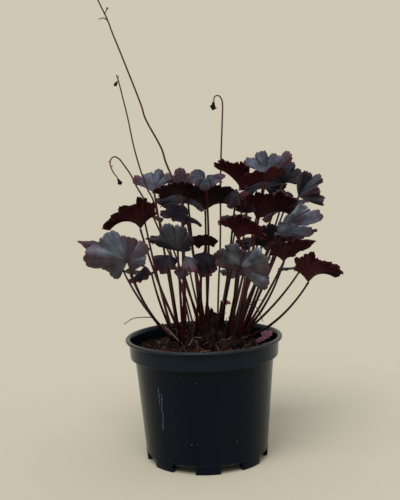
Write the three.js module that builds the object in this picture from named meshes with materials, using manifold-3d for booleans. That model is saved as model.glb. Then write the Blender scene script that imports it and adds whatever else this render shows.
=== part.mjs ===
// Potted coral bells: dark lobed leaves on red petioles, in a round plastic nursery pot.
// Millimetres, +Z up, -Y is the front. The origin is on the ground at the middle of the pot.
import * as THREE from "three";
import { mergeVertices } from "three/addons/utils/BufferGeometryUtils.js";
import Module from "manifold-3d";

const wasm = await Module();
wasm.setup();

const CLEARANCE = 0.3; // between pieces that touch

// Pot
const POT_HEIGHT = 109.5;
const POT_SEGMENTS = 40;
const LIP_RADIUS = 70;
const LIP_INNER_RADIUS = 66.4;
const LIP_HEIGHT = 3;
const LIP_ROUND = 0.9;
const BAND_TOP_RADIUS = 67;
const BAND_FOOT_RADIUS = 65.8;
const BAND_HEIGHT = 17;
const BODY_TOP_RADIUS = 62;
const BODY_FOOT_RADIUS = 55;
const WALL = 1.8;
const FLOOR_BOTTOM = 6.5;
const FLOOR_TOP = 8.5;
const SEAM_Z = 8;
const SEAM_HEIGHT = 0.8;
const SEAM_PROUD = 0.45;
const FOOT_RADIUS = 54.4;
const FOOT_INNER_RADIUS = 50.6;
const FEET = 8;
const NOTCH_HEIGHT = 6.5;
const NOTCH_WIDTH_LOW = 23;
const NOTCH_WIDTH_HIGH = 18;
const NOTCH_DEPTH = 12;
const DRAIN_RADIUS = 4;
const DRAIN_RING_RADIUS = 41;
const DRAIN_SIDES = 12;

// Soil
const SOIL_TOP = 95;
const SOIL_SEGMENTS = 20;
const SOIL_RINGS = [58, 49, 41, 30, 15];
const SOIL_BUMP = 1.3;

// Crown, which stands in a plain oval hole in the soil
const CROWN_X = 39;
const CROWN_Y = 29;
const CROWN_DEPTH = 20;
const CROWN_PROUD = 2; // above the soil's mean level
const CROWN_SIDES = 20;
const CROWN_LUMPS = [
  { x: -24, y: -1, across: 10, high: 9 },
  { x: -9, y: 9, across: 13, high: 13 },
  { x: 3, y: -7, across: 13, high: 17 },
  { x: 20, y: 4, across: 13, high: 12 },
  { x: -12, y: -13, across: 10, high: 8 },
  { x: 17, y: -12, across: 10, high: 9 },
  { x: 31, y: -2, across: 6, high: 8 },
];
const LUMP_DEPTH = 0.85; // front to back, as a share of its width
const ROOT_REACH = 0.78; // share of the crown's oval that the petioles' roots keep within
const SOCKET_DEPTH = 0.4; // below the foot of each flower stalk
const SOCKET_SIDES = 6;
const STUB_COUNT = 9;
const STUB_RADIUS = 1.1;
const STUB_FLARE = 1.3; // its root radius, as a share of its own
const STUB_RING = 0.55; // how far out the dry stubs stand, as a share of the crown's oval
const STUB_LEAN = 1.25;
const STUB_LOW = 13;
const STUB_HIGH = 22;
const STUB_SIDES = 5;

// Petioles
const PETIOLE_ROOT_RADIUS = 1.35;
const PETIOLE_TIP_RADIUS = 0.85;
const PETIOLE_SIDES = 5;
const PETIOLE_STEPS = 5;
const ROOT_SHARE_X = 0.33; // how far out a petiole's root lies, as a share of its leaf's own distance
const ROOT_SHARE_Y = 0.24;
const ROOT_JITTER = 5;

// Blades
const BLADE_THICKNESS = 0.7;
const BLADE_SPAN = 145; // degrees from the middle rib to the edge of the gap at the petiole
const BLADE_RING = 0.52; // how far out the blade's inner ring of points lies
const RING_STEPS = 2; // in each lobe
const USUAL_LOBES = 7;
const BASE_LOBE_SHARE = 0.74;
const SINUS_DEPTH = 0.2;
const TOOTH_DEPTH = 0.035;
const RUFFLE = 8; // degrees, as the two below
const LOBE_TILT = 10;
const RIM_DROOP = 9;
const LOBE_LENGTH_SPREAD = 0.09;

// Each leaf: top of its petiole, tip of its middle lobe, the way its top faces, its cupping in degrees
const LEAVES = [
  {
    at: [-59, -48, 180], tip: [-78, -64, 205], face: [-2, -8, 5], cup: 6,
    span: 84, reach: [0.62, 0.92, 1.28, 1, 0.82, 0.88, 0.94], bow: 12,
  },
  {
    at: [-78, 52, 173], tip: [-118, 62, 192], face: [0, -2, 10], cup: 12,
    span: 95, fold: 35, reach: [0.4, 0.5, 1, 0.5, 0.4], bow: 10,
  },
  {
    at: [-51, -26, 210], tip: [-67, -48, 229], face: [2, 7, 6], cup: 22,
    span: 125, reach: [0.7, 0.95, 1, 1, 0.82, 1.2, 0.6], bow: 6,
  },
  {
    at: [-32, 12, 230], tip: [-40, 24, 259], face: [-1, -8, 5], cup: 12,
    span: 75, reach: [0.67, 1, 1, 0.95, 0.8],
  },
  {
    at: [-11, -11, 232], tip: [-22, -29, 248], face: [1, 6, 8], cup: 16,
    span: 125, reach: [0.55, 0.8, 1, 1.1, 1.05], bow: 2,
  },
  {
    at: [-16, 31, 237], tip: [-20, 37, 258], face: [1, -8, 4], cup: 14,
    span: 60, reach: [0.85, 1, 0.8],
  },
  {
    at: [4, 8, 233], tip: [4, 24, 256], face: [0, -7, 7], cup: 22,
    span: 85, reach: [0.62, 0.95, 1, 1, 1.15],
  },
  {
    at: [12, -30, 222], tip: [12, -51, 244], face: [0, 7, 7], cup: 36,
    span: 125, reach: [0.5, 0.65, 0.9, 1, 1, 0.9, 0.6],
  },
  {
    at: [41, -29, 231], tip: [30, -34, 226], face: [-3, -7, 6], cup: 8,
    span: 80, reach: [0.85, 0.9, 0.9],
  },
  {
    at: [34, -17, 238], tip: [27, -34, 263], face: [2, 7, 6], cup: 48,
    span: 130, reach: [0.55, 0.62, 0.8, 1, 0.95, 0.98, 0.7],
  },
  {
    at: [63, 20, 244], tip: [63, 34, 269], face: [0, -7, 7], cup: 18,
    span: 105, reach: [0.7, 0.85, 1, 1, 1, 0.95, 0.7], bow: 2,
  },
  {
    at: [76, 34, 243], tip: [84, 46, 263], face: [-2, -7, 6], cup: 14,
    span: 100, reach: [0.7, 0.9, 1, 0.9, 0.7], bow: 2,
  },
  {
    at: [87, -4, 230], tip: [111, -16, 243], face: [-3, -8, 4], cup: 12,
    span: 105, reach: [0.6, 0.85, 1, 1, 0.95, 0.9, 0.7], bow: 4,
  },
  {
    at: [56, -22, 245], tip: [77, -34, 250], face: [0, 3, 9], cup: 10,
    span: 110, fold: 12, reach: [0.5, 0.7, 1, 0.7, 0.5], side: 7,
  },
  {
    at: [50, -23, 218], tip: [59, -41, 238], face: [1, 7, 7], cup: 34,
    span: 125, reach: [0.95, 1.25, 1.1, 1, 0.86, 0.76, 0.45], bow: 2,
  },
  {
    at: [69, -30, 204], tip: [102, -44, 217], face: [-1, -7, 7], cup: 8,
    span: 75, reach: [0.45, 0.78, 1, 0.68, 0.45], bow: 4,
  },
  {
    at: [63, -50, 204], tip: [92, -60, 204], face: [0, -5, 8], cup: 12,
    span: 90, fold: 30, reach: [0.4, 0.6, 1, 0.6, 0.4], bow: 4,
  },
  {
    at: [68, -52, 179], tip: [77, -72, 198], face: [-2, 7, 6], cup: 30,
    span: 125, reach: [1, 1.15, 1.1, 1, 0.7, 0.6, 0.5], bow: 14,
  },
  {
    at: [90, -44, 160], tip: [99, -62, 182], face: [-3, 7, 6], cup: 28,
    span: 125, reach: [0.95, 1.24, 1.16, 1, 0.92, 0.72, 0.38], bow: 15,
  },
  {
    at: [31, -71, 178], tip: [38, -77, 199], face: [0, -8, 5], cup: 6,
    span: 126, reach: [0.96, 0.93, 0.96, 1, 1.45, 1.1, 1.18],
  },
  {
    at: [-20, -62, 194], tip: [-20, -68, 215], face: [0, -9, 4], cup: 8,
    span: 105, reach: [0.85, 1.15, 1, 1, 0.6], bow: 4,
  },
  {
    at: [-12, -32, 219], tip: [-28, -42, 219], face: [0, -3, 9], cup: 8,
    span: 110, reach: [0.8, 0.8, 1, 0.8, 0.9], bow: 2,
  },
  {
    at: [2, -36, 194], tip: [1, -52, 201], face: [0, 2, 10], cup: 8,
    span: 120, reach: [0.5, 0.65, 0.8, 0.6, 0.5],
  },
  {
    at: [-28, -47, 188], tip: [-32, -55, 173], face: [-2, -9, 2], cup: 8,
    span: 80, reach: [0.6, 0.8, 1, 0.9, 0.7], bow: 2,
  },
  {
    at: [-43, -28, 171], tip: [-62, -36, 165], face: [0, -2, 10], cup: 8,
    span: 90, fold: 30, reach: [0.5, 0.7, 1, 0.7, 0.5], bow: 4,
  },
  {
    at: [5, -46, 167], tip: [5, -58, 189], face: [0, 8, 6], cup: 26,
    span: 120, reach: [0.4, 0.5, 0.75, 1, 0.75, 0.5, 0.4],
  },
  {
    at: [-13, -68, 189], tip: [-5, -74, 177], face: [3, -8, 3], cup: 6,
    span: 48, reach: [0.75, 1, 0.75],
  },
  {
    at: [30, -38, 198], tip: [41, -56, 216], face: [1, 7, 6], cup: 34,
    span: 120, reach: [0.5, 0.62, 0.78, 1, 1, 0.95, 0.5],
  },
  {
    at: [60, -12, 189], tip: [63, -20, 209], face: [0, -6, 7], cup: 12,
    span: 100, reach: [0.7, 0.8, 0.9, 0.8, 0.7], bow: 2,
  },
  {
    at: [74, 18, 222], tip: [74, 24, 237], face: [0, -8, 5], cup: 12,
    span: 100, reach: [0.8, 0.9, 1, 0.9, 0.8], bow: 2,
  },
  {
    at: [52, 4, 105], tip: [58, 0, 112], face: [1, -6, 9], cup: 6,
    span: 110, reach: [0.8, 0.9, 1, 0.9, 0.8], bow: 5, pink: true,
  },
  { at: [-15, 46, 226], tip: [-18, 72, 238], face: [0, 4, 8], cup: 14, bow: 2 },
  { at: [80, 54, 216], tip: [92, 76, 224], face: [1, 5, 8], cup: 12, bow: 4 },
  { at: [60, 52, 237], tip: [66, 76, 246], face: [1, 4, 9], cup: 12, bow: 2 },
  { at: [-54, 40, 209], tip: [-66, 60, 216], face: [-2, 5, 8], cup: 12, bow: 4 },
  { at: [-64, 10, 165], tip: [-88, 14, 172], face: [-2, 2, 9], cup: 12, reach: [1, 1, 1, 0.6, 0.5], bow: 8 },
  { at: [42, 62, 154], tip: [49, 88, 160], face: [1, 6, 8], cup: 14, bow: 8 },
  { at: [87, 40, 190], tip: [104, 55, 196], face: [2, 4, 9], cup: 12, bow: 8 },
  { at: [90, 16, 164], tip: [112, 26, 168], face: [3, 2, 9], cup: 12, bow: 10 },
  { at: [-28, 54, 188], tip: [-34, 78, 194], face: [-1, 5, 8], cup: 14 },
  { at: [-11, 64, 158], tip: [-14, 89, 162], face: [0, 6, 8], cup: 14, bow: 8 },
  { at: [54, 60, 183], tip: [57, 81, 190], face: [1, 5, 8], cup: 14, bow: 4 },
  { at: [34, 44, 206], tip: [33, 62, 212], face: [0, 5, 8], cup: 16 },
];

// Flower stalks from the crown up, each with its twigs: a path and the radius of a bud at the end
const STALK_SIDES = 5;
const TWIG_SIDES = 4;
const TWIG_TAPER = 0.8;
const BUD_LENGTH = 1.4; // as a share of its width
const BUD_OUT = 0.9; // from the end of its twig to its middle, in bud radii
const STALKS = [
  {
    name: "flower_stalk_tall",
    radii: [1.35, 0.55],
    path: [
      [2, 3, 102], [-3, 1, 150], [-10, 0, 204], [-16, 0, 231], [-21, 0, 246], [-28, -1, 264],
      [-32, -2, 278], [-44, -4, 302], [-48, -5, 316], [-61, -8, 353], [-69, -10, 375],
      [-73, -11, 387], [-80, -12, 403], [-84, -12, 417], [-86, -12, 437],
    ],
    twigs: [
      { path: [[-73, -11, 386], [-76, -11, 388], [-80, -12, 387]], bud: 0 },
      { path: [[-75, -11, 391], [-73, -11, 395]], bud: 0.9 },
      { path: [[-82, -12, 409], [-87, -11, 413], [-90, -11, 411]], bud: 1.2 },
      { path: [[-85, -12, 424], [-82, -13, 429], [-80, -13, 428]], bud: 1.1 },
      { path: [[-86, -12, 432], [-89, -12, 437], [-92, -12, 436]], bud: 1.1 },
    ],
  },
  {
    name: "flower_stalk_left",
    radii: [1.1, 0.5],
    path: [
      [-9, -2, 99], [-16, -5, 143], [-26, -8, 184], [-35, -9, 213], [-40, -9, 232],
      [-45, -10, 243], [-50, -11, 259], [-55, -12, 280], [-59, -13, 304], [-65, -14, 333], [-67, -14, 340],
    ],
    twigs: [
      { path: [[-65, -14, 331], [-68, -14, 333]], bud: 1.6 },
      { path: [[-65, -14, 334], [-63, -14, 335]], bud: 0.8 },
    ],
  },
  {
    name: "flower_stalk_hooked_left",
    radii: [0.9, 0.45],
    path: [
      [-6, 12, 101], [-17, 22, 147], [-34, 30, 193], [-47, 34, 224], [-57, 34, 243], [-62, 34, 254],
      [-69, 33, 265], [-72, 32, 269], [-76, 31, 271], [-79, 30, 269], [-80, 29, 265], [-78, 29, 258],
      [-74, 29, 252],
    ],
    twigs: [
      { path: [[-74, 29, 252], [-72.5, 29, 249]], bud: 2.1 },
      { path: [[-79.3, 29.4, 266.5], [-81.5, 29, 267]], bud: 0 },
      { path: [[-79.3, 29, 262], [-77.5, 29, 263]], bud: 0 },
    ],
  },
  {
    name: "flower_stalk_hooked_right",
    radii: [0.95, 0.45],
    path: [
      [12, 8, 99], [15, 26, 146], [18, 30, 187], [20, 32, 242], [21, 32, 265], [23, 32, 296],
      [24, 32, 315], [22.5, 32, 321], [20, 32, 323], [17, 32, 322], [16, 32, 318],
    ],
    twigs: [{ path: [[16, 32, 318], [15.8, 32, 315.5]], bud: 1.9 }],
  },
];

// Dried stems, thin as threads, which reach out of the crown
const THREAD_SIDES = 4;
const THREAD_ROOT_RADIUS = 0.65;
const THREAD_RADIUS = 0.45;
const THREADS = [
  [[-24, -4, 98], [-36, -5, 118], [-43, -6, 127], [-51, -8, 129], [-62, -10, 128.5], [-70, -12, 124]],
  [[24, -6, 98], [30, -6, 120], [37, -8, 135], [44, -10, 140], [52, -12, 142]],
  [[26, 4, 98], [31, 2, 116], [38, 0, 134], [46, -2, 135], [51, -4, 127], [53, -5, 121]],
];

// Colours
const POT_COLOUR = "#15191f";
const SOIL_COLOUR = "#2b211a";
const STEM_COLOUR = "#4a1c1c";
const BLADE_COLOUR = "#37252f";
const PINK_BLADE_COLOUR = "#7d3f55";

const DEGREE = Math.PI / 180;

// Manifold solid of a closed three.js geometry, with its faces turned outwards
function solidOf(geometry) {
  const bare = geometry.clone();
  bare.deleteAttribute("normal");
  bare.deleteAttribute("uv");
  const merged = mergeVertices(bare, 1e-4);
  const index = merged.index.array;
  const corners = [];
  for (let i = 0; i < index.length; i += 3) {
    const [a, b, c] = [index[i], index[i + 1], index[i + 2]];
    if (a !== b && b !== c && c !== a) corners.push([a, b, c]);
  }
  const make = (list) =>
    new wasm.Manifold(
      new wasm.Mesh({
        numProp: 3,
        vertProperties: new Float32Array(merged.attributes.position.array),
        triVerts: new Uint32Array(list.flat()),
      }),
    );
  const solid = make(corners);
  return solid.volume() < 0 ? make(corners.map(([a, b, c]) => [a, c, b])) : solid;
}

// three.js geometry of a manifold solid
function geometryOf(solid) {
  const mesh = solid.getMesh();
  const geometry = new THREE.BufferGeometry();
  geometry.setAttribute("position", new THREE.BufferAttribute(mesh.vertProperties, 3));
  geometry.setIndex(new THREE.BufferAttribute(mesh.triVerts, 1));
  geometry.computeVertexNormals();
  return geometry;
}

function joined(solids) {
  return solids.reduce((whole, part) => whole.add(part));
}

// Repeatable number from 0 to 1 for a pair of whole numbers
function draw(seed, index) {
  const wave = Math.sin(seed * 12.9898 + index * 78.233) * 43758.5453;
  return wave - Math.floor(wave);
}

// Solid turned about +Z from a profile of [radius, height] points
function turned(profile, segments) {
  const points = profile.map(([radius, height]) => new THREE.Vector2(radius, height));
  return new THREE.LatheGeometry(points, segments).rotateX(Math.PI / 2);
}

// Closed tube along a curve, with a radius that runs evenly from one end to the other
function taperedTube(curve, [rootRadius, tipRadius], sides, steps) {
  const frames = curve.computeFrenetFrames(steps, false);
  const positions = [];
  for (let step = 0; step <= steps; step += 1) {
    const middle = curve.getPointAt(step / steps);
    const radius = rootRadius + ((tipRadius - rootRadius) * step) / steps;
    for (let side = 0; side < sides; side += 1) {
      const angle = (side / sides) * 2 * Math.PI;
      const point = middle.clone();
      point.addScaledVector(frames.normals[step], radius * Math.cos(angle));
      point.addScaledVector(frames.binormals[step], radius * Math.sin(angle));
      positions.push(...point.toArray());
    }
  }
  positions.push(...curve.getPointAt(0).toArray(), ...curve.getPointAt(1).toArray());
  const rootCentre = (steps + 1) * sides;
  const tipCentre = rootCentre + 1;
  const index = [];
  for (let side = 0; side < sides; side += 1) {
    const next = (side + 1) % sides;
    for (let step = 0; step < steps; step += 1) {
      const low = step * sides;
      const high = low + sides;
      index.push(low + side, low + next, high + next, low + side, high + next, high + side);
    }
    index.push(rootCentre, next, side);
    index.push(tipCentre, steps * sides + side, steps * sides + next);
  }
  const geometry = new THREE.BufferGeometry();
  geometry.setAttribute("position", new THREE.Float32BufferAttribute(positions, 3));
  geometry.setIndex(index);
  return geometry;
}

// Pot
function makePot() {
  const bandFoot = POT_HEIGHT - BAND_HEIGHT;
  const lipFoot = POT_HEIGHT - LIP_HEIGHT;
  const shell = solidOf(
    turned(
      [
        [0, FLOOR_BOTTOM],
        [FOOT_INNER_RADIUS, FLOOR_BOTTOM],
        [FOOT_INNER_RADIUS, 0],
        [FOOT_RADIUS, 0],
        [BODY_FOOT_RADIUS, SEAM_Z],
        [BODY_FOOT_RADIUS + SEAM_PROUD, SEAM_Z + SEAM_HEIGHT / 2],
        [BODY_FOOT_RADIUS, SEAM_Z + SEAM_HEIGHT],
        [BODY_TOP_RADIUS, bandFoot],
        [BAND_FOOT_RADIUS, bandFoot],
        [BAND_TOP_RADIUS, lipFoot],
        [LIP_RADIUS - LIP_ROUND, lipFoot],
        [LIP_RADIUS, lipFoot + LIP_ROUND],
        [LIP_RADIUS, POT_HEIGHT - LIP_ROUND],
        [LIP_RADIUS - LIP_ROUND, POT_HEIGHT],
        [LIP_INNER_RADIUS, POT_HEIGHT],
        [BAND_TOP_RADIUS - WALL, POT_HEIGHT - LIP_ROUND],
        [BAND_FOOT_RADIUS - WALL, bandFoot + WALL],
        [BODY_TOP_RADIUS - WALL, bandFoot - CLEARANCE * 2],
        [FOOT_RADIUS - WALL, FLOOR_TOP],
        [0, FLOOR_TOP],
      ],
      POT_SEGMENTS,
    ),
  );
  const notchOutline = new THREE.Shape([
    new THREE.Vector2(-NOTCH_WIDTH_LOW / 2, -1),
    new THREE.Vector2(NOTCH_WIDTH_LOW / 2, -1),
    new THREE.Vector2(NOTCH_WIDTH_HIGH / 2, NOTCH_HEIGHT),
    new THREE.Vector2(-NOTCH_WIDTH_HIGH / 2, NOTCH_HEIGHT),
  ]);
  const cuts = [];
  for (let foot = 0; foot < FEET; foot += 1) {
    const turn = ((foot + 0.5) / FEET) * 2 * Math.PI;
    const notch = new THREE.ExtrudeGeometry(notchOutline, { depth: NOTCH_DEPTH, bevelEnabled: false });
    notch.rotateX(Math.PI / 2);
    notch.translate(0, -(FOOT_RADIUS - NOTCH_DEPTH / 2), 0);
    notch.rotateZ(turn);
    cuts.push(solidOf(notch));
    const drain = new THREE.CylinderGeometry(DRAIN_RADIUS, DRAIN_RADIUS, 2 * FLOOR_TOP, DRAIN_SIDES);
    drain.rotateX(Math.PI / 2);
    drain.translate(0, -DRAIN_RING_RADIUS, 0);
    drain.rotateZ(turn);
    cuts.push(solidOf(drain));
  }
  return shell.subtract(joined(cuts));
}

// Height of the soil's surface above its mean level
function soilBump(x, y) {
  const long = Math.sin(x * 0.21 + y * 0.13);
  const short = Math.sin(y * 0.31 - x * 0.17 + 1);
  return SOIL_BUMP * (0.6 * long + 0.4 * short);
}

function ovalPlug(clearance, low, high) {
  const plug = new THREE.CylinderGeometry(1, 1, high - low, CROWN_SIDES).rotateX(Math.PI / 2);
  plug.scale(CROWN_X + clearance, CROWN_Y + clearance, 1);
  plug.translate(0, 0, (low + high) / 2);
  return solidOf(plug);
}

// Soil, with the plain hole for the crown
function makeSoil() {
  const bandFoot = POT_HEIGHT - BAND_HEIGHT;
  const topRadius = BAND_FOOT_RADIUS - WALL - 2 * CLEARANCE;
  const profile = [
    [0, FLOOR_TOP + CLEARANCE],
    [FOOT_RADIUS - WALL - CLEARANCE, FLOOR_TOP + CLEARANCE],
    [BODY_TOP_RADIUS - WALL - CLEARANCE, bandFoot - CLEARANCE],
    [topRadius, bandFoot + WALL + 2 * CLEARANCE],
    [topRadius, SOIL_TOP + CLEARANCE],
    ...SOIL_RINGS.map((radius) => [radius, SOIL_TOP]),
    [0, SOIL_TOP],
  ];
  const geometry = turned(profile, SOIL_SEGMENTS);
  const position = geometry.attributes.position;
  for (let i = 0; i < position.count; i += 1) {
    const [x, y, z] = [position.getX(i), position.getY(i), position.getZ(i)];
    const inside = Math.hypot(x, y) < SOIL_RINGS[0] + 1;
    if (inside && z > SOIL_TOP - 1) position.setZ(i, z + soilBump(x, y));
  }
  const hole = ovalPlug(CLEARANCE, SOIL_TOP - CROWN_DEPTH - CLEARANCE, SOIL_TOP + 3 * SOIL_BUMP);
  return solidOf(geometry).subtract(hole);
}

// Value at a place along a blade's lobes, eased from the middle of one lobe to the middle of the next
function alongLobes(values, lobe) {
  const place = THREE.MathUtils.clamp(lobe - 0.5, 0, values.length - 1);
  const low = Math.min(Math.floor(place), values.length - 2);
  return values[low] + (values[low + 1] - values[low]) * THREE.MathUtils.smoothstep(place - low, 0, 1);
}

// Angle in degrees by which a blade rises from its own flat plane, at an angle share and a radius share
function bladeRise(leaf, share, out) {
  const lobe = ((share + 1) / 2) * leaf.lobes;
  const ruffle = leaf.ruffle * Math.cos(2 * Math.PI * lobe);
  const rim = alongLobes(leaf.lift, lobe) + ruffle;
  return leaf.cup + leaf.fold * Math.abs(share) + rim * out - RIM_DROOP * out * out;
}

// Length of a blade's rib at an angle share, as a share of the leaf's length
function bladeReach(leaf, share) {
  const lobe = ((share + 1) / 2) * leaf.lobes;
  const offMiddle = Math.abs(2 * (lobe - Math.floor(lobe)) - 1);
  const sinus = SINUS_DEPTH * offMiddle ** 3;
  const tooth = TOOTH_DEPTH * (1 + Math.cos(6 * Math.PI * lobe));
  return alongLobes(leaf.reach, lobe) * (1 - sinus - tooth);
}

// Point of a blade in its own frame: x across, y along the middle rib, z out of its top
function bladePoint(leaf, share, out) {
  const angle = share * leaf.span * DEGREE;
  const rise = bladeRise(leaf, share, out) * DEGREE;
  const radius = leaf.length * bladeReach(leaf, share) * out;
  return new THREE.Vector3(
    radius * Math.cos(rise) * Math.sin(angle),
    radius * Math.cos(rise) * Math.cos(angle),
    radius * Math.sin(rise),
  );
}

// The leaf's own frame, turned so that the tip of its middle lobe lies where the list says
function bladeFrame(leaf) {
  const rib = leaf.tip.clone().sub(leaf.at).normalize();
  const side = new THREE.Vector3().crossVectors(rib, leaf.face).normalize();
  const over = new THREE.Vector3().crossVectors(side, rib);
  const rise = bladeRise(leaf, 0, 1) * DEGREE;
  const along = rib.clone().multiplyScalar(Math.cos(rise)).addScaledVector(over, -Math.sin(rise));
  const up = rib.clone().multiplyScalar(Math.sin(rise)).addScaledVector(over, Math.cos(rise));
  return new THREE.Matrix4().makeBasis(side, along, up).setPosition(leaf.at);
}

// Blade of one leaf: both faces split into triangles alike, half the thickness to each side
function makeBlade(leaf) {
  const inner = RING_STEPS * leaf.lobes;
  const outer = 3 * inner;
  const middles = [new THREE.Vector3()];
  for (let i = 0; i <= inner; i += 1) middles.push(bladePoint(leaf, (2 * i) / inner - 1, BLADE_RING));
  for (let i = 0; i <= outer; i += 1) middles.push(bladePoint(leaf, (2 * i) / outer - 1, 1));
  const ring = (i) => 1 + i;
  const edge = (i) => 2 + inner + i;
  const faces = [];
  for (let i = 0; i < inner; i += 1) {
    faces.push([0, ring(i + 1), ring(i)]);
    faces.push([ring(i), edge(3 * i + 1), edge(3 * i)]);
    faces.push([ring(i), ring(i + 1), edge(3 * i + 1)]);
    faces.push([ring(i + 1), edge(3 * i + 2), edge(3 * i + 1)]);
    faces.push([ring(i + 1), edge(3 * i + 3), edge(3 * i + 2)]);
  }
  const sheet = new THREE.BufferGeometry().setFromPoints(middles);
  sheet.setIndex(faces.flat());
  sheet.computeVertexNormals();
  const normals = sheet.attributes.normal;
  const positions = [];
  for (const way of [1, -1]) {
    middles.forEach((point, i) => {
      const offset = new THREE.Vector3().fromBufferAttribute(normals, i);
      const moved = point.clone().addScaledVector(offset, (way * BLADE_THICKNESS) / 2);
      positions.push(...moved.toArray());
    });
  }
  const count = middles.length;
  const index = [...faces.flat(), ...faces.flatMap(([a, b, c]) => [count + a, count + c, count + b])];
  const border = [0, ring(0)];
  for (let i = 0; i <= outer; i += 1) border.push(edge(i));
  border.push(ring(inner));
  border.forEach((a, i) => {
    const b = border[(i + 1) % border.length];
    index.push(a, b, count + b, a, count + b, count + a);
  });
  const geometry = new THREE.BufferGeometry();
  geometry.setAttribute("position", new THREE.Float32BufferAttribute(positions, 3));
  geometry.setIndex(index);
  geometry.applyMatrix4(bladeFrame(leaf));
  return solidOf(geometry);
}

// A petiole runs from its root in the crown, bowed outwards, and ends close under its blade's middle
function petioleCurve(leaf) {
  const jitterX = (draw(leaf.seed, 70) * 2 - 1) * ROOT_JITTER;
  const jitterY = (draw(leaf.seed, 71) * 2 - 1) * ROOT_JITTER;
  const root = new THREE.Vector3(leaf.at.x * ROOT_SHARE_X + jitterX, leaf.at.y * ROOT_SHARE_Y + jitterY, 0);
  const far = Math.hypot(root.x / CROWN_X, root.y / CROWN_Y) / ROOT_REACH;
  root.divideScalar(Math.max(far, 1));
  root.z = SOIL_TOP;
  const middle = root.clone().lerp(leaf.at, 0.5);
  const outward = leaf.at.clone().sub(root).setZ(0).normalize();
  const climb = Math.atan2(leaf.at.z - root.z, Math.hypot(leaf.at.x - root.x, leaf.at.y - root.y));
  middle.addScaledVector(outward, leaf.bow * Math.sin(climb));
  middle.z -= leaf.bow * Math.cos(climb);
  middle.addScaledVector(new THREE.Vector3(-outward.y, outward.x, 0), leaf.side);
  const arrival = leaf.at.clone().sub(middle).normalize();
  const top = new THREE.Vector3().setFromMatrixColumn(bladeFrame(leaf), 2);
  const slope = THREE.MathUtils.clamp(arrival.dot(top), 0, 1);
  const lean = Math.sqrt(1 - slope * slope) - slope * Math.tan(leaf.cup * DEGREE);
  const under = BLADE_THICKNESS / 2 + CLEARANCE + PETIOLE_TIP_RADIUS * Math.max(lean, 0);
  return new THREE.QuadraticBezierCurve3(root, middle, leaf.at.clone().addScaledVector(top, -under));
}

function makePetiole(leaf) {
  const radii = [PETIOLE_ROOT_RADIUS, PETIOLE_TIP_RADIUS];
  return solidOf(taperedTube(petioleCurve(leaf), radii, PETIOLE_SIDES, PETIOLE_STEPS));
}

// Crown with its lumps, dry stubs and all petioles
function makeCrown(leaves) {
  const parts = [ovalPlug(0, SOIL_TOP - CROWN_DEPTH, SOIL_TOP + CROWN_PROUD)];
  for (const lump of CROWN_LUMPS) {
    const ball = new THREE.IcosahedronGeometry(1, 1);
    ball.scale(lump.across, lump.across * LUMP_DEPTH, lump.high);
    ball.translate(lump.x, lump.y, SOIL_TOP);
    parts.push(solidOf(ball));
  }
  for (let i = 0; i < STUB_COUNT; i += 1) {
    const turn = (i / STUB_COUNT) * 2 * Math.PI + draw(i, 90);
    const x = Math.cos(turn) * CROWN_X * STUB_RING;
    const y = Math.sin(turn) * CROWN_Y * STUB_RING;
    const high = THREE.MathUtils.lerp(STUB_LOW, STUB_HIGH, draw(i, 91));
    const foot = new THREE.Vector3(x, y, SOIL_TOP);
    const head = new THREE.Vector3(x * STUB_LEAN, y * STUB_LEAN, SOIL_TOP + high);
    const line = new THREE.LineCurve3(foot, head);
    parts.push(solidOf(taperedTube(line, [STUB_RADIUS * STUB_FLARE, STUB_RADIUS], STUB_SIDES, 1)));
  }
  for (const path of THREADS) {
    const radii = [THREAD_ROOT_RADIUS, THREAD_RADIUS];
    parts.push(solidOf(taperedTube(curveThrough(path), radii, THREAD_SIDES, 2 * (path.length - 1))));
  }
  const sockets = STALKS.map(({ path, radii }) => {
    const [foot, next] = path.map((point) => new THREE.Vector3(...point));
    const line = new THREE.LineCurve3(foot, next);
    const below = line.getPoint(-SOCKET_DEPTH / line.getLength());
    const stretch = new THREE.LineCurve3(below, line.getPoint(0.5));
    const radius = radii[0] + CLEARANCE;
    return solidOf(taperedTube(stretch, [radius, radius], SOCKET_SIDES, 1));
  });
  return joined([...parts, ...leaves.map(makePetiole)]).subtract(joined(sockets));
}

// Smooth curve whose even steps fall on the listed points, which lie closer together in a bend
function curveThrough(path) {
  const curve = new THREE.CatmullRomCurve3(path.map((point) => new THREE.Vector3(...point)));
  curve.getUtoTmapping = (share) => share;
  return curve;
}

// Flower stalk with its twigs and buds
function makeStalk(stalk) {
  const steps = 2 * (stalk.path.length - 1);
  const parts = [solidOf(taperedTube(curveThrough(stalk.path), stalk.radii, STALK_SIDES, steps))];
  const tipRadius = stalk.radii[1];
  for (const twig of stalk.twigs) {
    const curve = curveThrough(twig.path);
    parts.push(solidOf(taperedTube(curve, [tipRadius, tipRadius * TWIG_TAPER], TWIG_SIDES, 2)));
    if (twig.bud === 0) continue;
    const bud = new THREE.IcosahedronGeometry(twig.bud, 0).scale(1, 1, BUD_LENGTH);
    const way = curve.getTangentAt(1);
    bud.applyQuaternion(new THREE.Quaternion().setFromUnitVectors(new THREE.Vector3(0, 0, 1), way));
    bud.translate(...curve.getPointAt(1).addScaledVector(way, twig.bud * BUD_OUT).toArray());
    parts.push(solidOf(bud));
  }
  return joined(parts);
}

const group = new THREE.Group();

function addPiece(name, solid, colour, roughness) {
  const material = new THREE.MeshStandardMaterial({ color: colour, roughness, metalness: 0 });
  const mesh = new THREE.Mesh(geometryOf(solid), material);
  mesh.name = name;
  group.add(mesh);
}

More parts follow.
